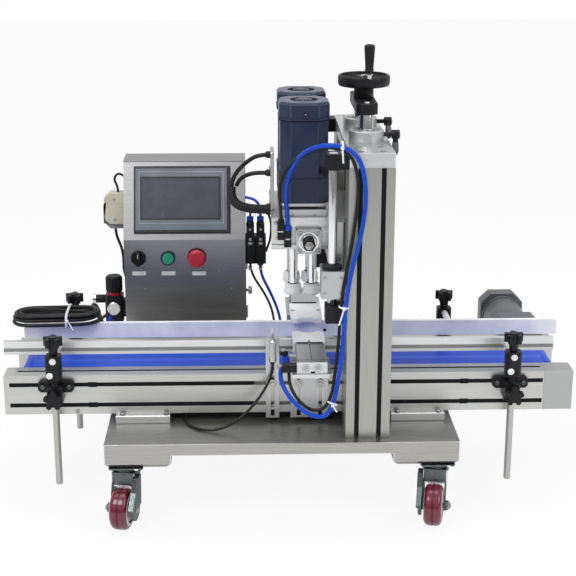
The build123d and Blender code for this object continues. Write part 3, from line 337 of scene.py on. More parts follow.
class Shape:
    # looks are the piece's materials; paint() says which of them the next faces take.
    def __init__(self, *looks):
        self.bm = bmesh.new()
        self.looks = looks
        self.tint = 0
        self.painted = 0

    def paint(self, look):
        self.mark()
        self.tint = self.looks.index(look)

    def mark(self):
        self.bm.faces.ensure_lookup_table()
        for face in self.bm.faces[self.painted:]:
            face.material_index = self.tint
        self.painted = len(self.bm.faces)

    def box(self, *ranges):
        # ranges are the (start, end) pairs along x, y and z.
        ranges = [sorted(pair) for pair in ranges]
        centre = Vector([(low + high) / 2 for low, high in ranges])
        size = Matrix.Diagonal([high - low for low, high in ranges] + [1])
        bmesh.ops.create_cube(self.bm, size=1, matrix=Matrix.Translation(centre) @ size)

    def rod(self, start, end, radius, segments=32):
        start, end = Vector(start), Vector(end)
        along = end - start
        turn = along.to_track_quat("Z", "Y").to_matrix().to_4x4()
        bmesh.ops.create_cone(
            self.bm, cap_ends=True, segments=segments, radius1=radius, radius2=radius,
            depth=along.length, matrix=Matrix.Translation((start + end) / 2) @ turn,
        )

    def lathe(self, origin, axis, profile, segments=40):
        # profile holds (height along the axis, radius) pairs; a radius of 0 closes an end.
        turn = Vector(axis).to_track_quat("Z", "Y").to_matrix().to_4x4()
        place = Matrix.Translation(origin) @ turn
        rings = []
        for height, radius in profile:
            ring = []
            for step in range(segments if radius > 0 else 1):
                angle = 2 * math.pi * step / segments
                point = Vector((radius * math.cos(angle), radius * math.sin(angle), height))
                ring.append(self.bm.verts.new(place @ point))
            rings.append(ring)
        for low, high in zip(rings, rings[1:]):
            join_rings(self.bm, low, high)

    def turned(self, origin, axis, profile, segments=40):
        # The same, closed flat at both ends.
        self.lathe(origin, axis, [(profile[0][0], 0), *profile, (profile[-1][0], 0)], segments)

    def disc(self, origin, axis, radius, height, segments=40):
        self.turned(origin, axis, [(0, radius), (height, radius)], segments)

    def stub(self, origin, axis, radius, height, tip, length, segments=40):
        # Above this height it narrows to the tip's radius.
        self.turned(origin, axis, [(0, radius), (height, radius), (length, tip)], segments)

    def ring(self, origin, axis, inner, outer, length, segments=40):
        profile = [(0, inner), (0, outer), (length, outer), (length, inner), (0, inner)]
        self.lathe(origin, axis, profile, segments)

    def screw(self, point, axis, radius, height):
        # A cap screw's head, with its socket sunk in the middle.
        socket = radius * 0.5
        bottom = height * 0.45
        side = [(0, radius), (height * 0.8, radius), (height, radius * 0.88)]
        self.turned(point, axis, side + [(height, socket), (bottom, socket)], 24)

    def prism(self, outline, place, depth):
        # outline is a list of (x, y) in the plane of the matrix place, raised by depth along its z.
        low, high = [
            [self.bm.verts.new(place @ Vector((x, y, height))) for x, y in outline] for height in (0, depth)
        ]
        self.bm.faces.new(list(reversed(low)))
        self.bm.faces.new(high)
        join_rings(self.bm, low, high)

    def build(self, name, body, bevel=0.4, smooth=32.0, place=Matrix()):
        self.mark()
        bmesh.ops.remove_doubles(self.bm, verts=self.bm.verts, dist=0.0005)
        bmesh.ops.recalc_face_normals(self.bm, faces=self.bm.faces)
        bmesh.ops.transform(self.bm, matrix=place, verts=self.bm.verts)
        bmesh.ops.scale(self.bm, vec=(MM, MM, MM), verts=self.bm.verts)
        piece = mesh_object(self.bm, name, self.looks, smooth)
        if bevel:
            bevel_edges(piece, bevel)
        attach(piece, body)
        return piece


def plane_place(origin, x_axis, normal):
    # A matrix whose z is the normal and whose x is x_axis.
    z = Vector(normal).normalized()
    x = Vector(x_axis).normalized()
    turn = Matrix((x, z.cross(x), z)).transposed().to_4x4()
    return Matrix.Translation(origin) @ turn


# Camera, floor and light
CAMERA_PLACE = (-0.1062, -2.4455, 0.8755)
CAMERA_YAW = 0.033
CAMERA_PITCH = 0.295
CAMERA_ROLL = 0.002
CAMERA_LENS = 84.09
FLOOR_Z = -0.2502
FLOOR_HALF = 9.0
FLOOR_TO_CAMERA = 0.9
FLOOR_IN_MIRRORS = 0.3
WHITE = (1, 1, 1, 1)
# The studio's grey by height: 0 is straight down, 0.5 is level and 1 is straight up
STUDIO_GREYS = ((0.0, 0.55), (0.42, 0.42), (0.50, 0.30), (0.56, 0.34), (0.66, 0.80), (1.0, 1.0))
STUDIO_LIGHT = 0.75
LAMPS_AIM = (0.0, 0.0, 0.1)


def make_camera():
    data = bpy.data.cameras.new("camera")
    data.lens = CAMERA_LENS
    data.sensor_width = 36.0
    data.clip_end = 50.0
    camera = add_object("camera", data)
    forward = Vector((
        math.sin(CAMERA_YAW) * math.cos(CAMERA_PITCH),
        math.cos(CAMERA_YAW) * math.cos(CAMERA_PITCH),
        -math.sin(CAMERA_PITCH),
    ))
    level = Vector((math.cos(CAMERA_YAW), -math.sin(CAMERA_YAW), 0))
    right = math.cos(CAMERA_ROLL) * level + math.sin(CAMERA_ROLL) * level.cross(forward)
    camera.matrix_world = plane_place(CAMERA_PLACE, right, -forward)
    bpy.context.scene.camera = camera


def make_floor():
    mesh = bpy.data.meshes.new("floor")
    signs = ((-1, -1), (1, -1), (1, 1), (-1, 1))
    mesh.from_pydata([(x * FLOOR_HALF, y * FLOOR_HALF, FLOOR_Z) for x, y in signs], [], [(0, 1, 2, 3)])
    material = base_material("floor_white", (0.90, 0.90, 0.90), 0.9)
    tree = material.node_tree
    # The camera sees a floor that is nearly white and keeps a faint shadow.
    white = add_node(tree, "ShaderNodeEmission", Color=WHITE)
    path = add_node(tree, "ShaderNodeLightPath")
    mirrored = add_node(tree, "ShaderNodeMath")
    mirrored.operation = "MULTIPLY"
    mirrored.inputs[1].default_value = FLOOR_IN_MIRRORS
    seen = add_node(tree, "ShaderNodeMath")
    seen.operation = "MULTIPLY_ADD"
    seen.inputs[1].default_value = FLOOR_TO_CAMERA
    mix = add_node(tree, "ShaderNodeMixShader")
    tree.links.new(path.outputs["Is Glossy Ray"], mirrored.inputs[0])
    tree.links.new(path.outputs["Is Camera Ray"], seen.inputs[0])
    tree.links.new(mirrored.outputs["Value"], seen.inputs[2])
    tree.links.new(seen.outputs["Value"], mix.inputs["Fac"])
    tree.links.new(tree.nodes["Principled BSDF"].outputs["BSDF"], mix.inputs[1])
    tree.links.new(white.outputs["Emission"], mix.inputs[2])
    tree.links.new(mix.outputs["Shader"], tree.nodes["Material Output"].inputs["Surface"])
    mesh.materials.append(material)
    add_object("floor", mesh)


def make_world():
    world = bpy.data.worlds.new("studio")
    bpy.context.scene.world = world
    world.use_nodes = True
    tree = world.node_tree
    tree.nodes.clear()
    place = add_node(tree, "ShaderNodeTexCoord")
    split = add_node(tree, "ShaderNodeSeparateXYZ")
    tree.links.new(place.outputs["Generated"], split.inputs["Vector"])
    height = add_node(tree, "ShaderNodeValToRGB")
    tree.links.new(map_range(tree, split.outputs["Z"], -1.0, 1.0), height.inputs["Fac"])
    stops = height.color_ramp.elements
    for stop, (position, level) in zip(stops, (STUDIO_GREYS[0], STUDIO_GREYS[-1])):
        stop.position = position
        stop.color = (level, level, level, 1)
    for position, level in STUDIO_GREYS[1:-1]:
        stops.new(position).color = (level, level, level, 1)
    # Behind the machine the studio is white, as the picture's background is.
    mix = add_node(tree, "ShaderNodeMix")
    mix.data_type = "RGBA"
    mix.inputs["B"].default_value = (0.95, 0.95, 0.95, 1)
    tree.links.new(map_range(tree, split.outputs["Y"], 0.0, 0.5), mix.inputs["Factor"])
    tree.links.new(height.outputs["Color"], mix.inputs["A"])
    light = add_node(tree, "ShaderNodeBackground", Strength=STUDIO_LIGHT)
    tree.links.new(mix.outputs["Result"], light.inputs["Color"])
    white = add_node(tree, "ShaderNodeBackground", Color=WHITE)
    path = add_node(tree, "ShaderNodeLightPath")
    choose = add_node(tree, "ShaderNodeMixShader")
    tree.links.new(path.outputs["Is Camera Ray"], choose.inputs["Fac"])
    tree.links.new(light.outputs["Background"], choose.inputs[1])
    tree.links.new(white.outputs["Background"], choose.inputs[2])
    out = add_node(tree, "ShaderNodeOutputWorld")
    tree.links.new(choose.outputs["Shader"], out.inputs["Surface"])


def area_lamp(name, place, size, power):
    data = bpy.data.lights.new(name, "AREA")
    data.shape = "RECTANGLE"
    data.size, data.size_y = size
    data.energy = power
    lamp = add_object(name, data)
    lamp.location = place
    lamp.rotation_mode = "QUATERNION"
    lamp.rotation_quaternion = (Vector(LAMPS_AIM) - Vector(place)).to_track_quat("-Z", "Y")


make_camera()
make_floor()
make_world()
area_lamp("key", (-1.3, -1.8, 2.4), (1.6, 1.2), 34)
area_lamp("fill", (1.9, -1.4, 1.5), (1.4, 1.4), 14)
area_lamp("top", (0.1, 0.4, 2.6), (2.2, 1.6), 20)


# Cords: the routes are those of the solids, in millimetres, as the control points of smooth splines
BLUE_ROUTE = [
    (-30, -118, 276), (-30, -118, 300), (-35, -125, 340), (-29, -132, 378), (-16, -152, 411),
    (3, -188, 436), (30, -218, 449), (62, -222, 447), (86, -222, 429), (97, -222, 395), (100, -219, 352),
    (96, -219, 312), (88, -219, 272), (78, -219, 232), (71, -219, 192), (67, -220, 152), (65, -221, 112),
    (62, -223, 72), (56, -228, 30), (49, -234, -8), (37, -238, -32), (18, -238, -35), (-2, -238, -26),
    (-20, -236, -10), (-36, -226, 8), (-45, -208, 24), (-45, -188, 35), (-39, -171, 42), (-34, -160, 43),
    (-34, -148, 43),
]
BLACK_ROUTE = [
    (-42, -118, 290), (-42, -118, 314), (-47, -126, 348), (-40, -132, 380), (-24, -145, 405),
    (-1, -176, 426), (26, -206, 442), (56, -209, 441), (76, -210, 426), (85, -210, 400), (88, -209, 366),
    (85, -208, 326), (80, -208, 286), (73, -209, 246), (66, -210, 206), (61, -211, 166), (58, -212, 126),
    (56, -214, 86), (51, -218, 44), (46, -224, 4), (34, -229, -21), (15, -228, -28), (-4, -225, -19),
    (-19, -216, -4), (-27, -204, 9), (-30, -194, 23), (-30, -194, 38),
]
SENSOR_ROUTE = [
    (-57.5, -124, 30), (-57.5, -124, 14), (-62, -127, -4), (-73, -135, -22), (-88, -144, -42),
    (-107, -154, -60), (-130, -163, -76), (-157, -167, -87), (-184, -163, -89.2), (-205, -148, -89.2),
    (-218, -125, -89.2), (-223, -97, -89.2), (-222, -60, -89.2), (-217, -15, -89.2), (-214, 35, -89.2),
    (-215, 88, -89.2), (-219, 145, -89.2), (-221, 200, -89), (-220, 240, -85), (-218, 272, -80),
    (-218, 311, -80),
]
BUNDLE_ROUTE = [
    (-59, -25, 292), (-82, -25, 292), (-104, -22, 294), (-122, -18, 300), (-132, -11, 314),
    (-131, -5, 330),
]
UPPER_ROUTE = [
    (-129, -3, 344), (-118, -4, 362), (-100, -9, 380), (-80, -18, 393), (-59, -18, 393),
]
LOWER_ROUTE = [
    (-122, 2, 330), (-117, 3, 341), (-104, 1, 351), (-87, -4, 356), (-74, -8, 357), (-59, -8, 357),
]
# The supply lead runs from the box to the hank, and its tail from the hank to the plug.
LEAD_ROUTE = [
    (-363, 423, -45), (-381, 423, -45), (-402, 416, -46), (-420, 394, -50), (-427, 360, -52),
    (-424, 321, -48), (-418, 283, -36), (-412, 247, -16), (-408, 213, 9), (-406, 182, 33),
    (-408, 153, 53), (-411, 126, 63), (-409, 98, 66),
]
TAIL_ROUTE = [
    (-427, 100, 55.5), (-423, 121, 54), (-413, 143, 44), (-399, 159, 19), (-383, 170, -13),
    (-366, 179, -45), (-352, 191, -69), (-343, 209, -80), (-340, 232, -80),
]
# The hank's turns: how far each keeps inside the outline and its height, by the turn's number
HANK_TURNS = [
    (0.0, 2.0, 69.8), (1.6, 15.0, 70.0), (1.9, 15.0, 62.2), (3.3, 4.2, 62.2), (3.8, 1.0, 62.2),
    (4.0, 1.0, 54.4), (4.78, 2.0, 54.4),
]
HANK_MIDDLE = (-473.0, 58.5)
HANK_HALF = (85.0, 37.5)
HANK_TAPER = 0.0625
HANK_STEPS = 24
HANK_WAVE = 0.35
# Short leads that two fittings hold: name, radius, look and route
SHORT_TUBES = [
    ("valve_tube_blue", 3, "blue_hose", [
        (-73.5, 334, 186), (-73.5, 334, 204), (-78, 336, 220), (-92, 343, 228), (-106, 350, 228),
    ]),
    ("valve_tube_black", 2.5, "soft_black", [
        (-95.5, 334, 186), (-95.5, 334, 198), (-90, 331, 210), (-74, 327, 214), (-58, 328, 202),
        (-50, 333, 176), (-52, 335, 140), (-60, 336, 118), (-62, 336, 112),
    ]),
    ("valve_drain_blue", 3, "blue_hose", [
        (-73.5, 334, 86), (-73.5, 334, 70), (-68, 334, 52), (-54, 334, 24), (-40, 335, -8), (-31, 336, -40),
        (-29, 337, -70), (-29, 337, -91),
    ]),
    ("valve_drain_black", 2.5, "soft_black", [
        (-95.5, 334, 90), (-95, 334, 74), (-86, 332, 52), (-66, 330, 22), (-50, 330, -12), (-44, 331, -46),
        (-43, 332, -72), (-43, 332, -91),
    ]),
    ("hood_tube_upper", 2.5, "soft_black", [
        (-376, 370, 236), (-377, 370, 250), (-384, 370, 262), (-380, 372, 274), (-370, 374, 276),
        (-363, 374, 270),
    ]),
    ("hood_tube_lower", 3, "soft_black", [
        (-384, 370, 160), (-384, 370, 146), (-379, 370, 130), (-372, 370, 112), (-369, 369, 88),
        (-370, 366, 62), (-363, 364, 44),
    ]),
]


def hank_at(turn):
    for (start, inset_a, z_a), (end, inset_b, z_b) in zip(HANK_TURNS, HANK_TURNS[1:]):
        if turn <= end:
            share = (turn - start) / (end - start)
            return inset_a + share * (inset_b - inset_a), z_a + share * (z_b - z_a)
    return HANK_TURNS[-1][1:]


def hank_turn(share, half_length, half_width):
    # A point this share of the way round two round folds and two straight runs, clockwise from
    # the middle of the right fold. The second half is the first one turned round the centre.
    run = 2 * (half_length - half_width)
    fold = math.pi * half_width
    half, gone = divmod((share % 1) * 2 * (run + fold) + fold / 2, run + fold)
    sign = -1 if half == 1 else 1
    if gone < fold:
        angle = math.pi / 2 - gone / half_width
        return sign * (run / 2 + half_width * math.cos(angle)), sign * half_width * math.sin(angle)
    return sign * (run / 2 - (gone - fold)), -sign * half_width


def hank_points():
    points = []
    for step in range(round(HANK_TURNS[-1][0] * HANK_STEPS) + 1):
        turn = step / HANK_STEPS
        inset, z = hank_at(turn)
        along, across = hank_turn(turn, HANK_HALF[0] - inset, HANK_HALF[1] - inset)
        wave = HANK_WAVE * math.sin(5.3 * turn + 1.1)
        across += HANK_TAPER * along + wave
        points.append((HANK_MIDDLE[0] + along, HANK_MIDDLE[1] + across, z + wave))
    return points


def route_curve(name, route, radius, look=None):
    data = bpy.data.curves.new(name, "CURVE")
    data.dimensions = "3D"
    data.bevel_depth = radius * MM
    data.bevel_resolution = 4
    data.resolution_u = 6
    data.use_fill_caps = True
    spline = data.splines.new("NURBS")
    spline.points.add(len(route) - 1)
    for place, point in zip(spline.points, route):
        place.co = (*in_metres(point), 1)
    spline.order_u = 3
    spline.use_endpoint_u = True
    if look:
        data.materials.append(MAT[look])
    return add_object(name, data)


def centre_line(name, route):
    # Points along the route's smooth line, in metres.
    probe = route_curve(name, route, 0)
    line = bpy.data.meshes.new_from_object(probe.evaluated_get(bpy.context.evaluated_depsgraph_get()))
    found = [vertex.co.copy() for vertex in line.vertices]
    bpy.data.objects.remove(probe)
    bpy.data.meshes.remove(line)
    return found


def tube_mesh(name, line, radius, look, sides=16, ripple=0.0, pitch=1.0):
    # A tube round the line; its rings keep one sense of roll, and may swell by the ripple.
    bm = bmesh.new()
    rings = []
    up = Vector((0.3, 0.2, 0.93)).normalized()
    gone = 0.0
    for index, point in enumerate(line):
        before = line[max(index - 1, 0)]
        after = line[min(index + 1, len(line) - 1)]
        gone += (point - before).length / MM
        along = (after - before).normalized()
        side = along.cross(up).normalized()
        up = side.cross(along).normalized()
        ring = []
        for step in range(sides):
            angle = 2 * math.pi * step / sides
            swell = 1 + ripple * math.sin(2 * math.pi * gone / pitch + angle)
            offset = side * math.cos(angle) + up * math.sin(angle)
            ring.append(bm.verts.new(point + offset * radius * swell * MM))
        rings.append(ring)
    for low, high in zip(rings, rings[1:]):
        join_rings(bm, low, high)
    bm.faces.new(list(reversed(rings[0])))
    bm.faces.new(rings[-1])
    bmesh.ops.recalc_face_normals(bm, faces=bm.faces)
    piece = mesh_object(bm, name, [look], 60)
    return piece


def finer(line, step):
    # The same line with points at most this many millimetres apart.
    points = [line[0]]
    for before, after in zip(line, line[1:]):
        parts = max(1, math.ceil((after - before).length / (step * MM)))
        points += [before.lerp(after, part / parts) for part in range(1, parts + 1)]
    return points


def lift_hose(name, route, radius, look, node):
    # A hose from the head to the front clamp.
    line = centre_line(name + "_line", route)
    piece = tube_mesh(name, line, radius, look)
    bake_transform(piece)
    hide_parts(node)


def curve_cord(name, route, radius, look, body="frame", node=None, **ends):
    # A cord that rides on one body; node is the solid that it stands for.
    piece = route_curve(name, route, radius, look)
    if node:
        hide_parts(node)
    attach(piece, body)
    centre_line(name + "_line", route)


def make_plug():
    plug = Shape("black", "chrome")
    x, y, z = TAIL_ROUTE[-1]
    plug.lathe((x, y, z), BACK, [(-22, 0), (-22, 4.3), (-6, 6.2), (0, 8.0), (0.5, 0)])
    body = [(-11, -7), (-6, -11.5), (6, -11.5), (11, -7), (11, 8), (7, 11.5), (-7, 11.5), (-11, 8)]
    plug.prism(body, plane_place((x, y + 44, z), RIGHT, FRONT), 44)
    plug.paint("chrome")
    for pin_x, pin_z, half_x, half_z in ((-5, -3, 3, 1), (5, -3, 3, 1), (0, 5, 1, 3)):
        plug.box(span(x + pin_x, half_x), (y + 43, y + 60), span(z + pin_z, half_z))
    return plug.build("supply_plug", "frame")


def make_cords():
    lift_hose("blue_hose", BLUE_ROUTE, 4, "blue_hose", "blue_air_hose")
    lift_hose("black_hose", BLACK_ROUTE, 3, "soft_black", "black_air_hose")
    curve_cord("sensor_lead", SENSOR_ROUTE, 2.5, "soft_black", node="sensor_cable", lay="loose")

    wrap_line = finer(centre_line("wrap_line", BUNDLE_ROUTE), 0.7)
    wrap = tube_mesh("head_cable_wrap", wrap_line, 8.6, "soft_black", 24, 0.06, 5.0)
    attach(wrap, "head")
    upper_route = BUNDLE_ROUTE + UPPER_ROUTE
    curve_cord("head_upper_cable", upper_route, 4, "soft_black", "head", "head_cable_bundle", parts=[wrap])
    curve_cord("head_lower_cable", LOWER_ROUTE, 4, "soft_black", "head")

    supply_route = LEAD_ROUTE + hank_points() + TAIL_ROUTE
    curve_cord(
        "supply_cord", supply_route, 3.5, "soft_black", node="power_cord",
        far_end="plug", lay="coiled", parts=[make_plug()],
    )
    for name, radius, look, route in SHORT_TUBES:
        curve_cord(name, route, radius, look)


make_cords()


# Conveyor details
def rail_details():
    strips = Shape("shade_and_black")
    front_runs = ((RAIL_LEFT, -92), (76, RAIL_RIGHT))
    for side, runs in ((-1, front_runs), (1, ((RAIL_LEFT, RAIL_RIGHT),))):
        for run in runs:
            for z in RAIL_SLOTS:
                strips.box(run, (side * (RAIL_OUT - 0.5), side * (RAIL_OUT - 5)), span(z, 4))
        strips.box((RAIL_LEFT, RAIL_RIGHT), span(side * RAIL_TOP_SLOT, 4), (-5, -0.5))
    for z in RAIL_SLOTS:
        for x in (-390, 300):
            strips.box(span(x, 8), (-RAIL_OUT - 0.4, -RAIL_OUT + 2), span(z, 5))
        strips.box((RAIL_LEFT - 12, RAIL_LEFT + 2), (-RAIL_OUT - 0.3, -RAIL_OUT + 2), span(z, 4))
    strips.build("rail_slot_strips", "frame", 0.3)

    block = Shape("end")
    block.box((RAIL_RIGHT + 2, 503.4), (-RAIL_OUT - 0.5, -RAIL_OUT + 1), (-75.6, -0.6))
    block.box((RAIL_RIGHT + 2, 503.4), (-RAIL_OUT + 0.4, -66), (-1, 0.3))
    block.build("drive_end_cover", "frame", 0.4)

    fronts = Shape("bolt")
    for x in (-336, -255, 175, 252):
        for y in (-117, 117):
            fronts.disc((x, y, -76), UP, 5.6, 1, 24)
            fronts.screw((x, y, -75), UP, 4.2, 3.6)
    fronts.screw((-419, -RAIL_OUT, -71), FRONT, 3.5, 3)
    for x in (458, 492):
        for z in (-14, -62):
            fronts.screw((x, RAIL_OUT, z), BACK, 3.5, 2)
    fronts.build("conveyor_screws", "frame", 0.2)

    # The dark lower strip is painted shade in the guide's recess; the upper strip is the guide's own
    # aluminium.
    lip = Shape("recess_shade", "guide")
    lip.box((-560, 477), (-49.6, -46), (25.6, 33))
    lip.paint("guide")
    lip.box((-560, 477), (-49.8, -46), (33, 40.4))
    lip.build("front_guide_shade_strip", "front_guide", 0)
    # A dark disc: painted shade in the rear guide's hole.
    dot = Shape("shade_and_black")
    dot.disc((48, 45.2, 32), FRONT, 3, 0.6, 20)
    dot.build("rear_guide_hole_shade", "rear_guide", 0)

    seam = Shape("belt_seam")
    for width in ((-34, -20), (26, 32)):
        seam.box((-508, 460), width, (-0.5, 0.12))
    seam.build("belt_bands", "frame", 0)


def drive_details():
    x, z = RAIL_RIGHT, -25
    trim = Shape("grey", "shade_and_black", "bolt")
    for y in (186, 296):
        trim.ring((x, y, z), BACK, 41.5, 44.0, 4)
    trim.turned((x, 347, z), BACK, [(0, 34), (1.6, 33)])
    # Dark rings on the fan cover: painted shade in its grille.
    trim.paint("shade_and_black")
    for radius in (9, 15, 21, 27):
        trim.ring((x, 348.2, z), BACK, radius, radius + 2.6, 0.8)
    trim.paint("bolt")
    for screw_x in span(x, 36):
        for screw_z in span(z, 36):
            trim.screw((screw_x, 182, screw_z), BACK, 4, 4)
    trim.build("drive_motor_trim", "frame", 0.3)


# Guide rail mounts: steel rods, screws and painted shade in the clamping slits
def mount_details():
    for end, side, stations in (("front", -1, (-456, 384)), ("rear", 1, (-448, 294))):
        outward = (0, side, 0)
        y = side * 133
        moving = Shape("steel", "chrome", "shade_and_black")
        fixed = Shape("zinc", "shade_and_black")
        for x in stations:
            moving.turned((x, y, -205.6), UP, [(0, 5.4), (1.2, 6.35), (160, 6.35)])
            moving.paint("chrome")
            moving.screw((x - 6, y + side * 13, 14), outward, 6.4, 4.6)
            # A dark box: painted shade in the moving mount's clamping slit.
            moving.paint("shade_and_black")
            moving.box(span(x, 14.2), (y + side * 2, y + side * 3.4), (2.2, 30))
            moving.paint("steel")
            for ear in span(x, 24):
                fixed.screw((ear, side * (RAIL_OUT + 10), -18), outward, 4.6, 3.2)
            # A dark box: painted shade in the fixed mount's clamping slit.
            fixed.paint("shade_and_black")
            fixed.box(span(x, 14.2), span(y, 0.8), (-45.2, -32))
            fixed.paint("zinc")
        moving.build(end + "_mount_rods", end + "_mounts", 0.2)
        fixed.build(end + "_mount_screws", "frame", 0.2)


# Portal details
def portal_details():
    strips = Shape("shade_and_black")
    height = (DECK + 5, COLUMN_TOP)
    for y in (-COLUMN_Y, COLUMN_Y):
        for offset in (-20, 20):
            for face in (-1, 1):
                depths = (face * (COLUMN_HALF - 0.6), face * (COLUMN_HALF - 5))
                strips.box([COLUMN_X + depth for depth in depths], span(y + offset, 4), height)
                strips.box(span(COLUMN_X + offset, 4), [y + depth for depth in depths], height)
    strips.build("column_slot_strips", "frame", 0)

    screws = Shape("bolt")
    for x in (93, 132):
        for y in (-181, -140, 140, 181):
            screws.disc((x, y, PLATE_TOP - 0.2), UP, 6.2, 0.5, 28)
            screws.ring((x, y, PLATE_TOP + 0.2), UP, 2.6, 5.0, 0.7, 28)
    for y in (-POST_Y, POST_Y):
        for x in (90, 134):
            screws.screw((x, y, PLATE_TOP + 18), UP, 3.2, 1.6)
        screws.ring((COLUMN_X, y, PLATE_TOP + 17.9), UP, 12.2, 16.5, 1.8)
    screws.build("top_plate_screws", "frame", 0.15)

    sleeves = Shape("black")
    for y in (-SHAFT_Y, SHAFT_Y):
        sleeves.ring((SHAFT_X, y, 399), UP, 8.4, 13, 3)
    sleeves.build("guide_shaft_collars", "frame", 0.4)
    for name, y, lean in (("front", -POST_Y, 0), ("rear", POST_Y, -45)):
        cap = Shape("grey", "chrome")
        hub_end = COLUMN_X + 59.5
        turn = Matrix.Translation((0, y, 439)) @ Matrix.Rotation(math.radians(lean), 4, "X")
        cap.lathe((hub_end - 7, 0, -14), DOWN, [(0, 0), (0, 5.6), (14, 6.6), (19, 6.0), (20, 0)], 28)
        cap.paint("chrome")
        cap.screw((hub_end, 0, 0), RIGHT, 4.4, 1.6)
        cap.build(name + "_lever_trim", name + "_lever", 0.3, place=turn)


# Head: yoke, handwheel, beam, cylinder and bearings
def yoke_details():
    ends = Shape("black", "chrome")
    for side in (-1, 1):
        ends.turned((COLUMN_X, side * 66, 475.6), UP, [(0, 18), (1.4, 19.4), (18.4, 19.4), (19.8, 18)])
        ends.paint("chrome")
        ends.lathe((COLUMN_X, side * POST_Y, 495), UP, [(0, 0), (0, 4.6), (2.6, 4.0), (3.4, 0)], 24)
        ends.paint("black")
    ends.build("yoke_ends", "head", 0.3)

    wheel = Shape("black", "chrome")
    band = [
        (0, 41.5), (0.8, 45.4), (4, 47.2), (15, 47.6), (19, 46.4), (20.4, 43.8), (19.6, 41.4), (14, 40.0),
        (5, 39.8), (0, 41.5),
    ]
    wheel.lathe((COLUMN_X, 0, 516.4), UP, band, 72)
    wheel.turned((COLUMN_X, 0, 515), UP, [(0, 20), (12, 17), (19, 13.5)])
    wheel.paint("chrome")
    wheel.lathe((COLUMN_X, 0, 533.6), UP, [(0, 0), (0, 6), (2.2, 5.4), (3, 0)], 6)
    grip_x, grip_y = 117.7, -40.6
    wheel.turned((grip_x, grip_y, 534), UP, [(0, 6.6), (8, 6.6), (9, 4.2), (12.6, 4.2)], 6)
    wheel.build("handwheel_rim", "handwheel", 0.2, smooth=40)
    grip = Shape("black")
    grip.lathe((grip_x, grip_y, 547.4), UP, [(0, 4), (0, 7.6), (3, 8.2), (5, 7.4), (5, 4), (0, 4)])
    grip.lathe((grip_x, grip_y, 592), UP, [(0, 0), (0, 9.6), (2, 8.6), (3.4, 5), (3.8, 0)])
    grip.build("grip_ends", "grip", 0.2)


def head_details():
    cover = Shape("plate", "bolt")
    cover.box((-58.8, -25.5), (-114.6, -112.6), (249, 296.5))
    cover.box((-58.8, -12), (-118, -112.6), (241, 248.5))
    cover.box((-24.4, 63), (-114.4, -112.6), (281, 297.5))
    cover.box((31.5, 65.5), (-114.2, -112.6), (240, 279))
    cover.paint("bolt")
    for x in (-8.6, 22.6):
        for z in (241, 272):
            cover.screw((x, -128, z), FRONT, 4.4, 3.6)
    for x in (-52, 58):
        cover.screw((x, -114.4, 289), FRONT, 3.4, 2.4)
    for x in (-20, 18.5, 44):
        cover.screw((x, -101, 298), UP, 4.4, 5)
    cover.build("head_front_cover", "head", 0.5)

    stop = Shape("chrome", "black", "bolt")
    x, z = HEAD_STOP
    stop.ring((x, -128, z), FRONT, 15.6, 18.4, 2.4)
    stop.turned((x, -131, z), FRONT, [(0, 13.4), (2.2, 13.0)])
    stop.paint("black")
    knurl = [(0, 10.4)]
    for ridge in range(6):
        knurl += [(1 + ridge * 3, 11.2), (2.4 + ridge * 3, 9.6)]
    stop.turned((x, -133, z), FRONT, knurl + [(19, 10.4)], 32)
    stop.disc((x, -151, z), FRONT, 11.6, 3, 6)
    stop.paint("bolt")
    stop.stub((x, -154, z), FRONT, 8.2, 3.4, 6.2, 4.4, 6)
    stop.lathe((x, -158, z), FRONT, [(0, 0), (0, 4), (2.2, 3.2), (3, 0)], 24)
    stop.build("head_stop", "head", 0.25)

    elbows = Shape("black", "blue_hose", "brass")
    for x, top in ((-30, 276), (-42, 290)):
        elbows.box(span(x, 6.5), (-125, -112.8), (top - 30.4, top - 17))
        elbows.box(span(x, 6.5), (-125, -112.8), (top - 14, top + 0.4))
        elbows.rod((x, -118.8, top - 18), (x, -118.8, top - 12), 5)
    elbows.stub((-42, -118, 290), UP, 5.6, 5, 4, 6.4, 28)
    elbows.paint("blue_hose")
    elbows.stub((-30, -118, 276), UP, 7.2, 6, 5, 8, 28)
    elbows.paint("brass")
    for z in (273, 259):
        elbows.rod((-52, -116.8, z), (-36, -116.8, z), 2.2, 20)
        elbows.rod((-50, -116.8, z), (-47, -116.8, z), 3.2, 6)
    elbows.build("head_elbows", "head", 0.3)

    bearing = Shape("black", "bolt")
    for side in (-1, 1):
        bearing.ring((SHAFT_X, side * SHAFT_Y, 223.2), UP, 8.6, 17.5, 5.0)
        bearing.ring((SHAFT_X, side * SHAFT_Y, 172.2), UP, 8.6, 14, 0.9)
    bearing.paint("bolt")
    for side in (-1, 1):
        for x in span(SHAFT_X, 14):
            bearing.screw((x, side * 162, 223), UP, 3.2, 2.6)
            for z in (184, 212):
                bearing.screw((x, side * 205, z), (0, side, 0), 3.0, 0.6)
    bearing.build("head_bearing_seals", "head", 0.3)

    # Bolts that hold the cable plate, rings round the lift posts and the glands of the head's cables
    holds = Shape("bolt", "black")
    for z in (312, 330, 376):
        holds.screw((-59, -48, z), LEFT, 3.6, 3)
    for y in (-POST_Y, POST_Y):
        holds.ring((COLUMN_X, y, 298), UP, 12.2, 19, 5)
    holds.paint("black")
    holds.stub((-59, -25, 292), LEFT, 11.4, 5, 9.8, 8, 12)
    for y, z in ((-18, 393), (-8, 357)):
        holds.stub((-59, y, z), LEFT, 6.6, 6, 5, 9, 12)
    holds.build("head_glands", "head", 0.3)


def octagon(half, cut):
    return [
        (half, half - cut), (half - cut, half), (cut - half, half), (-half, half - cut),
        (-half, cut - half), (cut - half, -half), (half - cut, -half), (half, cut - half),
    ]


# The rubber capping wheel from its lower rim up
WHEEL_PROFILE = [
    (0, 6), (0.4, 13.0), (2, 15.9), (4, 16.8), (8, 16.6), (15, 15.0), (19.6, 13.2), (21.2, 10.0),
]


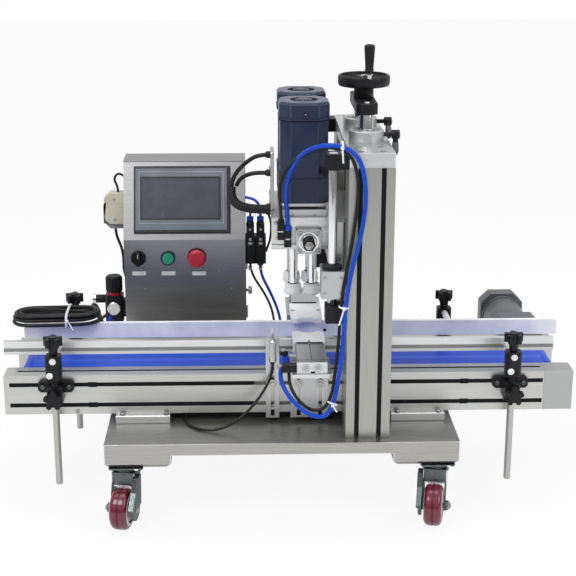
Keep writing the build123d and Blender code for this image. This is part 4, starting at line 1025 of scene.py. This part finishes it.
def motor_details():
    for end, side in (("front", -1), ("rear", 1)):
        y = side * MOTOR_Y
        flat = Matrix.Translation((0, y, 0))
        lid = Shape("navy_lid_and_edge_highlight", "shade_and_black", "navy", "bolt")
        lid.prism(octagon(41, 17.5), flat @ Matrix.Translation((0, 0, 499.4)), 1.6)
        # The vents are dark: painted shade in the lid's openings.
        lid.paint("shade_and_black")
        vents = 24
        for step in range(vents):
            turn = flat @ Matrix.Rotation(2 * math.pi * step / vents, 4, "Z")
            vent = [(15, -0.9), (25, -1.5), (25, 1.5), (15, 0.9)]
            lid.prism(vent, turn @ Matrix.Translation((0, 0, 500.6)), 0.8)
        lid.paint("navy")
        lid.turned((0, y, 500.8), UP, [(0, 12), (1.2, 11)])
        # The bands under the lid and over the gearbox, each with a line of painted shade under it, in the
        # seam
        for look, half, cut, z, depth in (
            ("navy", 46.2, 20.4, 469.6, 4.2), ("navy", 45.8, 20.2, 360.4, 5.0),
            ("shade_and_black", 44.6, 19.8, 358.8, 1.4), ("shade_and_black", 45.4, 20.2, 467.8, 1.6),
        ):
            lid.paint(look)
            lid.prism(octagon(half, cut), flat @ Matrix.Translation((0, 0, z)), depth)
        lid.disc((1.4, y - 45.2, 481), FRONT, 3.2, 1.2, 20)
        lid.paint("bolt")
        lid.screw((1.4, y - 46.2, 481), FRONT, 1.6, 0.6)
        for x in (-32, 32):
            for screw_y in span(y, 32):
                lid.screw((x, screw_y, 318), DOWN, 4.0, 3.0)
        lid.build(end + "_motor_trim", end + "_carriage", 0.5)
        gland = Shape("black")
        profile = [(0, 0), (0, 8), (2.4, 8), (3.4, 6), (3.4, 3.6), (2, 0)]
        gland.lathe((38, y - 38, 377.9), (1, -1, 0), profile, 24)
        gland.build(end + "_motor_plug", end + "_carriage", 0.3)
        for wheel_side, x in SPINDLES_X.items():
            name = end + "_" + wheel_side
            y = side * SPINDLE_Y
            cone = Shape("cap_rubber", "shade_and_black", "chrome")
            cone.turned((x, y, 133.8), UP, WHEEL_PROFILE)
            # A dark ring at the wheel's top: painted shadow round the spindle.
            cone.paint("shade_and_black")
            cone.ring((x, y, 154.8), UP, 8.3, 9.9, 1.2)
            cone.paint("chrome")
            cone.ring((x, y, 156), UP, 8.05, 8.6, 82)
            cone.build(name + "_wheel_skin", name + "_capping_wheel", 0.2)


# Clamps and the sensor
def clamp_details():
    body = Shape("plate", "bolt", "shade_and_black", "black", "steel")
    body.box((-16.6, 38.6), (-200.6, -198.4), (32.6, 54.4))
    body.box((-24.4, 46.4), (-204, -202.4), (25.2, 33))
    body.paint("bolt")
    for x in (0, 22):
        body.ring((x, -200.4, 44.3), FRONT, 6.0, 7.2, 0.8, 32)
        body.turned((x, -200.4, 44.3), FRONT, [(0, 4.6), (0.7, 4.2)], 28)
    for y in (-101, -191):
        body.screw((11, y, 54), UP, 3.0, 1.2)
    body.paint("steel")
    for x, width in ((-9, 9), (31, 9), (SENSOR_X, 9.4)):
        for axis, side, height in ((FRONT, -1, 2.4), (BACK, 1, 4)):
            body.disc((x, side * 118, -18), axis, width, 1.6, 36)
            body.screw((x, side * 119.6, -18), axis, 5.4, height)
    # Thin dark lines and bars: painted shade in the gaps between plates, and between each jaw and its
    # cylinder.
    body.paint("shade_and_black")
    body.box((10.5, 11.5), (-186, -105), (53.6, 54.3))
    for y in ((-105.3, -104.7), (-186.8, -186.2)):
        body.box((-15.8, 37.8), y, (53.6, 54.25))
    body.box((9, 16.5), (-201, -200), (34.2, 37.4))
    body.box((-13, 35), (-97.4, -90.6), (50, 54.7))
    body.box((-13, 35), (117, 124.4), (60, 64.7))
    for x in (-9, 31, SENSOR_X):
        body.box(span(x, 3.6), (-118.4, -117), (-80, -68))
    body.paint("black")
    body.disc((SENSOR_X, -124, 28.6), UP, 6.6, 6.4, 6)
    body.box((-45.5, -30), (-155, -141), (52.2, 57))
    body.box((-42, -16), (-205, -189), (37.4, 50.6))
    body.paint("bolt")
    for x, y, z, end in ((-43, -150, 59.4, -22), (-52, -200, 48, -32)):
        body.rod((x + 8, y, z), (end, y, z), 1.8, 20)
        body.stub((x, y, z), RIGHT, 3.8, 7, 2.2, 8.4, 24)
    body.build("clamp_trim", "frame", 0.2)

    collar = Shape("blue_hose")
    collar.stub((-34, -146, 43), FRONT, 6.8, 9, 5.2, 12, 28)
    collar.build("clamp_hose_collar", "frame", 0.3)
    sensor = Shape("chrome")
    barrel = [(0, 0), (0, 5.6), (30, 5.6), (33.4, 4.6), (35.4, 2.4), (36, 0)]
    sensor.lathe((SENSOR_X, -124.4, 35), UP, barrel, 28)
    sensor.lathe((SENSOR_X, -114, 71), UP, [(0, 0), (0, 4.6), (9, 2.6), (19, 1.6), (20, 0)], 20)
    sensor.build("sensor_barrel", "frame", 0.2)

    jaw = Shape("bolt")
    for x in (-14, 36):
        jaw.screw((x, 70, 64), UP, 3.4, 1.4)
    jaw.build("rear_jaw_screws", "rear_jaw", 0.2)
    jaw = Shape("shade_and_black")
    jaw.disc((11, -84, 54), UP, 2.6, 0.5, 20)
    jaw.build("front_jaw_dot", "front_jaw", 0)


# Control box details
def screen_details():
    screen = Shape("bezel", "bezel_dark", "screen", "bezel_line")
    outer_x, outer_y = (-98, 94.5), (20, 151.5)
    inner_x, inner_y = (-88, 82), (41.5, 134)
    for x, y in (
        (outer_x, (outer_y[0], inner_y[0])), (outer_x, (inner_y[1], outer_y[1])),
        ((outer_x[0], inner_x[0]), inner_y), ((inner_x[1], outer_x[1]), inner_y),
    ):
        screen.box(x, y, (5.6, 7.6))
    screen.paint("bezel_dark")
    screen.box((-88.4, 82.4), (41.1, 134.4), (5.4, 6.5))
    screen.paint("screen")
    screen.box((-84.2, 78), (45.5, 129.5), (6.2, 6.9))
    screen.paint("bezel_line")
    line_x, line_y = (-90.5, 87.5), (34.6, 144.6)
    for y in line_y:
        screen.box(line_x, span(y, 0.7), (7.2, 7.9))
    for x in line_x:
        screen.box(span(x, 0.7), line_y, (7.2, 7.9))
    panel = plane_place((-239, BOX_FRONT, 145.5), RIGHT, (0, 145.5 - 302, 62))
    screen.build("operator_screen", "frame", 0.5, place=panel)


def button_details():
    trim = Shape("bezel_dark", "legend", "bolt")
    y = BOX_FRONT - 0.1
    trim.ring((-332.5, y, BUTTONS_Z), FRONT, 14.2, 16.0, 5)
    trim.ring((-270, y, BUTTONS_Z), FRONT, 12.5, 15.4, 8)
    trim.disc((-209, y, BUTTONS_Z), FRONT, 20.5, 0.8)
    trim.paint("legend")
    for x, z in ((-332, 72.5), (-270, 72), (-204.6, 71.6)):
        trim.box(span(x, 14.5), (BOX_FRONT - 0.8, BOX_FRONT + 0.2), span(z, 4.2))
    trim.paint("bolt")
    trim.ring((-270, y, BUTTONS_Z), FRONT, 15.4, 16.6, 2.4)
    for x, z in ((-162, 74), (-320, 37), (-136, 37)):
        trim.lathe((x, BOX_FRONT, z), FRONT, [(0, 0), (0, 2.2), (0.8, 1.6), (1.1, 0)], 16)
    trim.build("panel_trim", "frame", 0.25)
    pointer = Shape("legend")
    pointer.box((-333.1, -331.9), (290.6, 292), (110, 119.5))
    pointer.build("selector_pointer", "selector", 0)


def box_details():
    shell = Shape("box", "bolt", "shade_and_black", "black")
    shell.box((-106.4, -104.6), (319, 446), (-84, 80))
    for x in (BOX_LEFT, -106):
        shell.box(span(x, 1.2), (452, 453.8), (DECK, 300))
    shell.box((-364, -105), (371.5, 453.8), (301, 303))
    shell.box((-350, -119), (BOX_BACK, 454.6), (-78, 286))
    shell.paint("bolt")
    for x in (-340, -129):
        for z in (-68, 276):
            shell.screw((x, 454.6, z), BACK, 4, 2)
    for z in (-58, 56):
        shell.rod((-104, 447, z - 14), (-104, 447, z + 14), 3.4)
    shell.stub((-100, 330, 28), RIGHT, 8.6, 6, 6, 8, 28)
    shell.paint("shade_and_black")
    for row in range(9):
        z = 180 + row * 9
        shell.box((-290, -180), (454.4, 455.0), (z, z + 3.4))
    shell.paint("black")
    shell.turned((BOX_LEFT, 423, -45), LEFT, [(0, 9.5), (6, 9.5), (8, 7.4), (26, 4.4)], 12)
    shell.stub((-218, BOX_FRONT, -80), FRONT, 7, 5, 3.4, 9, 12)
    shell.build("box_trim", "frame", 0.4)

    hood = Shape("beige", "grey", "bolt")
    body = [(-364, 169), (-364, 236.6), (-394, 236.6), (-405.6, 225), (-405.6, 182), (-396, 169)]
    hood.prism(body, plane_place((0, 386, 0), RIGHT, FRONT), 31.6)
    hood.paint("grey")
    base = [
        (-407.4, 172), (-407.4, 210), (-402, 217), (-406, 214), (-406, 181), (-394, 170), (-364, 170),
        (-364, 159.6),
    ]
    hood.prism(base, plane_place((0, 386.6, 0), RIGHT, FRONT), 32.8)
    hood.paint("bolt")
    for z in (224, 180):
        hood.screw((-384, 354.4, z), FRONT, 2.6, 1.4)
    hood.build("connector_hood", "frame", 0.8)


def air_details():
    y = VALVES_Y
    valves = Shape("black", "blue_hose", "bolt")
    for x in VALVES_X:
        valves.box(span(x, 8), (316.6, 318.4), (96, 128))
        valves.turned((x, y, 171), UP, [(0, 8.6), (6, 8.6), (7, 7.4), (12, 7.4)], 6)
    valves.paint("blue_hose")
    for x in VALVES_X:
        valves.stub((x, y, 183), UP, 7.4, 5, 5, 7.6, 28)
    valves.stub((VALVES_X[1], y, 90), DOWN, 6.6, 6, 4.4, 8, 28)
    valves.paint("bolt")
    for x in VALVES_X:
        valves.screw((x, 318, 144), FRONT, 3.4, 2.6)
        valves.screw((x, 320, 165), FRONT, 2.6, 2)
        valves.stub((x, 318, 84), (0, 0.5, -1), 4, 7, 2.4, 9, 20)
        valves.box(span(x, 4.4), (316.1, 317), (132, 138))
    valves.build("valve_trim", "frame", 0.3)
    grommets = Shape("black")
    for x, y in ((-29, 337), (-43, 332)):
        grommets.turned((x, y, DECK), UP, [(0, 7), (3, 6.4), (4, 4)], 24)
    grommets.build("deck_grommets", "frame", 0.3)


def regulator_details():
    x, y = REGULATOR
    air = Shape("red", "chrome", "blue_hose", "legend", "black")
    air.disc((x, y, 18.2), UP, 14.8, 6.2)
    air.paint("chrome")
    air.ring((x - 46.5, y, 8), RIGHT, 5.5, 10.4, 7)
    air.turned((x, y - 19, -8), FRONT, [(0, 14), (5, 14), (6, 12.4), (5.2, 12.4)])
    air.paint("legend")
    air.disc((x, y - 24.2, -8), FRONT, 12.2, 0.3)
    air.paint("blue_hose")
    air.turned((x - 8, y - 17, -40), UP, [(0, 6), (9, 6), (11, 4.6), (16, 4.6)], 28)
    air.paint("black")
    air.ring((x, y, -41), UP, 12, 17.6, 7)
    knob = Shape("black")
    for shape, count, radius, thick, low, high in (
        (air, 10, 15, 1.3, -74, -42), (knob, 18, 16.9, 1.2, 28, 56),
    ):
        for rib in range(count):
            angle = 2 * math.pi * rib / count
            rib_x, rib_y = x + radius * math.cos(angle), y + radius * math.sin(angle)
            shape.rod((rib_x, rib_y, low), (rib_x, rib_y, high), thick, 10)
    air.build("regulator_trim", "frame", 0.3)
    knob.build("regulator_knob_ribs", "regulator_knob", 0)


# Casters: each is drawn about its own kingpin and turned as the solid is
def caster_details():
    turn = Matrix.Rotation(math.radians(CASTER_TURN), 4, "Z")
    for name, (x, y) in CASTERS.items():
        place = Matrix.Translation((x, y, 0)) @ turn
        pedal = 1 if x < 0 else -1
        fork = Shape("zinc", "bolt", "edge")
        fork.box((-20.6, 20.6), (-26.5, -23.5), (-172, -147.6))
        fork.turned((0, 0, -147), UP, [(0, 26), (3, 27), (6, 25)])
        # The strips along the fork's lower edges, and the screws above them, take the painted highlight.
        fork.paint("edge")
        fork.box((-21, 21), (-27.2, -23), (-174.4, -172))
        for side in (-1, 1):
            fork.box((side * 20, side * 21.4), (-27.4, -23), (-174, -148))
            for screw_y in (-22, 22):
                fork.screw((side * 24, screw_y, -138.2), DOWN, 4.6, 3.6)
        fork.paint("bolt")
        nut = [(0, 0), (0, 8.4), (6, 8.4), (7.4, 6.4), (9.4, 5.0), (11, 0)]
        for side in (-1, 1):
            fork.lathe((side * 21, WHEEL_Y, WHEEL_Z), (side, 0, 0), nut, 6)
        fork.paint("zinc")
        start = pedal * 21.4
        fork.turned((start, WHEEL_Y, WHEEL_Z), (pedal, 0, 0), [(0, 21), (5, 21), (6, 19.6)])
        outline = [(-20, -150), (-44, -150), (-50, -170), (-57, -208), (-18, -208), (-16, -176)]
        fork.prism(outline, plane_place((start, 0, 0), BACK, RIGHT), pedal * 9)
        fork.build(name + "_caster_trim", name + "_caster", 0.4, place=place)

        tyre = Shape("maroon_dark", "rim", "chrome")
        band = [(1.4, 37.2), (2, 38.12), (6, 38.12), (6.6, 37.2), (1.4, 37.2)]
        tyre.lathe((-4, WHEEL_Y, WHEEL_Z), RIGHT, band, 72)
        tyre.paint("rim")
        lip = [(0, 25.4), (0, 30.6), (0.9, 29.8), (0.9, 26), (0, 25.4)]
        web = [(0, 6), (0, 24.6), (0.5, 24.4), (0.5, 6), (0, 6)]
        for side in (-1, 1):
            tyre.lathe((side * 15.9, WHEEL_Y, WHEEL_Z), (side, 0, 0), lip, 56)
            tyre.lathe((side * 13, WHEEL_Y, WHEEL_Z), (side, 0, 0), web, 48)
        tyre.paint("chrome")
        for side in (-1, 1):
            tyre.ring((side * 13.4, WHEEL_Y, WHEEL_Z), (side, 0, 0), 5.6, 10.6, 2.8)
        tyre.build(name + "_tyre_trim", name + "_wheel", 0.15, place=place)


# White ties round the hoses and the hank
def hose_tie(name, body, centre, along, radius, tail):
    tie = Shape("tie")
    loop = []
    for step in range(13):
        angle = 2 * math.pi * step / 12
        loop.append((1.8 * math.sin(angle), radius + 0.9 * math.cos(angle)))
    tie.lathe(centre, along, loop, 48)
    head = Vector(centre) + Vector((0, -radius - 0.6, 0))
    tie.box(span(head.x, 3), (head.y - 2.4, head.y + 1), span(head.z, 2.6))
    end = head + Vector(tail)
    side = Vector((1.5, 0, 0))
    flat = [head - side, head + side, end + side, end - side]
    low = [tie.bm.verts.new(point) for point in flat]
    high = [tie.bm.verts.new(point + Vector(FRONT)) for point in flat]
    tie.bm.faces.new(low)
    tie.bm.faces.new(high)
    join_rings(tie.bm, low, high)
    tie.build(name, body, 0.2)


def make_ties():
    hose_tie("hose_tie_top", "head", (58, -215.5, 445), (1, 0.1, 0), 9.5, (1.5, -2, -26))
    hose_tie("hose_tie_middle", "frame", (65, -215.5, 162), (0.12, 0, 1), 8.6, (-9, -2, -30))
    hose_tie("hose_tie_low", "frame", (46, -230.5, -12), (0.4, 0.3, 1), 9.0, (7, -2, -12))
    band = [
        (-450, 12, 58), (-450, 11, 70), (-450, 24, 76), (-450, 56, 77), (-450, 88, 76), (-450, 98, 68),
        (-450, 98, 56), (-450, 86, 50.6), (-450, 56, 50.2), (-450, 24, 50.6), (-450, 12, 56),
    ]
    tie = tube_mesh("hank_tie", finer(centre_line("tie_line", band), 2), 2.5, "tie", 12)
    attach(tie, "frame")
    knot = Shape("tie")
    knot.lathe((-448, 10, 66), (0.5, -1, -0.3), [(0, 0), (0, 3), (4, 2.4), (5, 0)], 16)
    knot.rod((-446, 8, 66), (-436, 2, 50), 1.2, 12)
    knot.build("hank_tie_knot", "frame", 0.2)


rail_details()
drive_details()
mount_details()
portal_details()
yoke_details()
head_details()
motor_details()
clamp_details()
screen_details()
button_details()
box_details()
air_details()
regulator_details()
caster_details()
make_ties()

scene = bpy.context.scene
scene.view_settings.view_transform = "Standard"
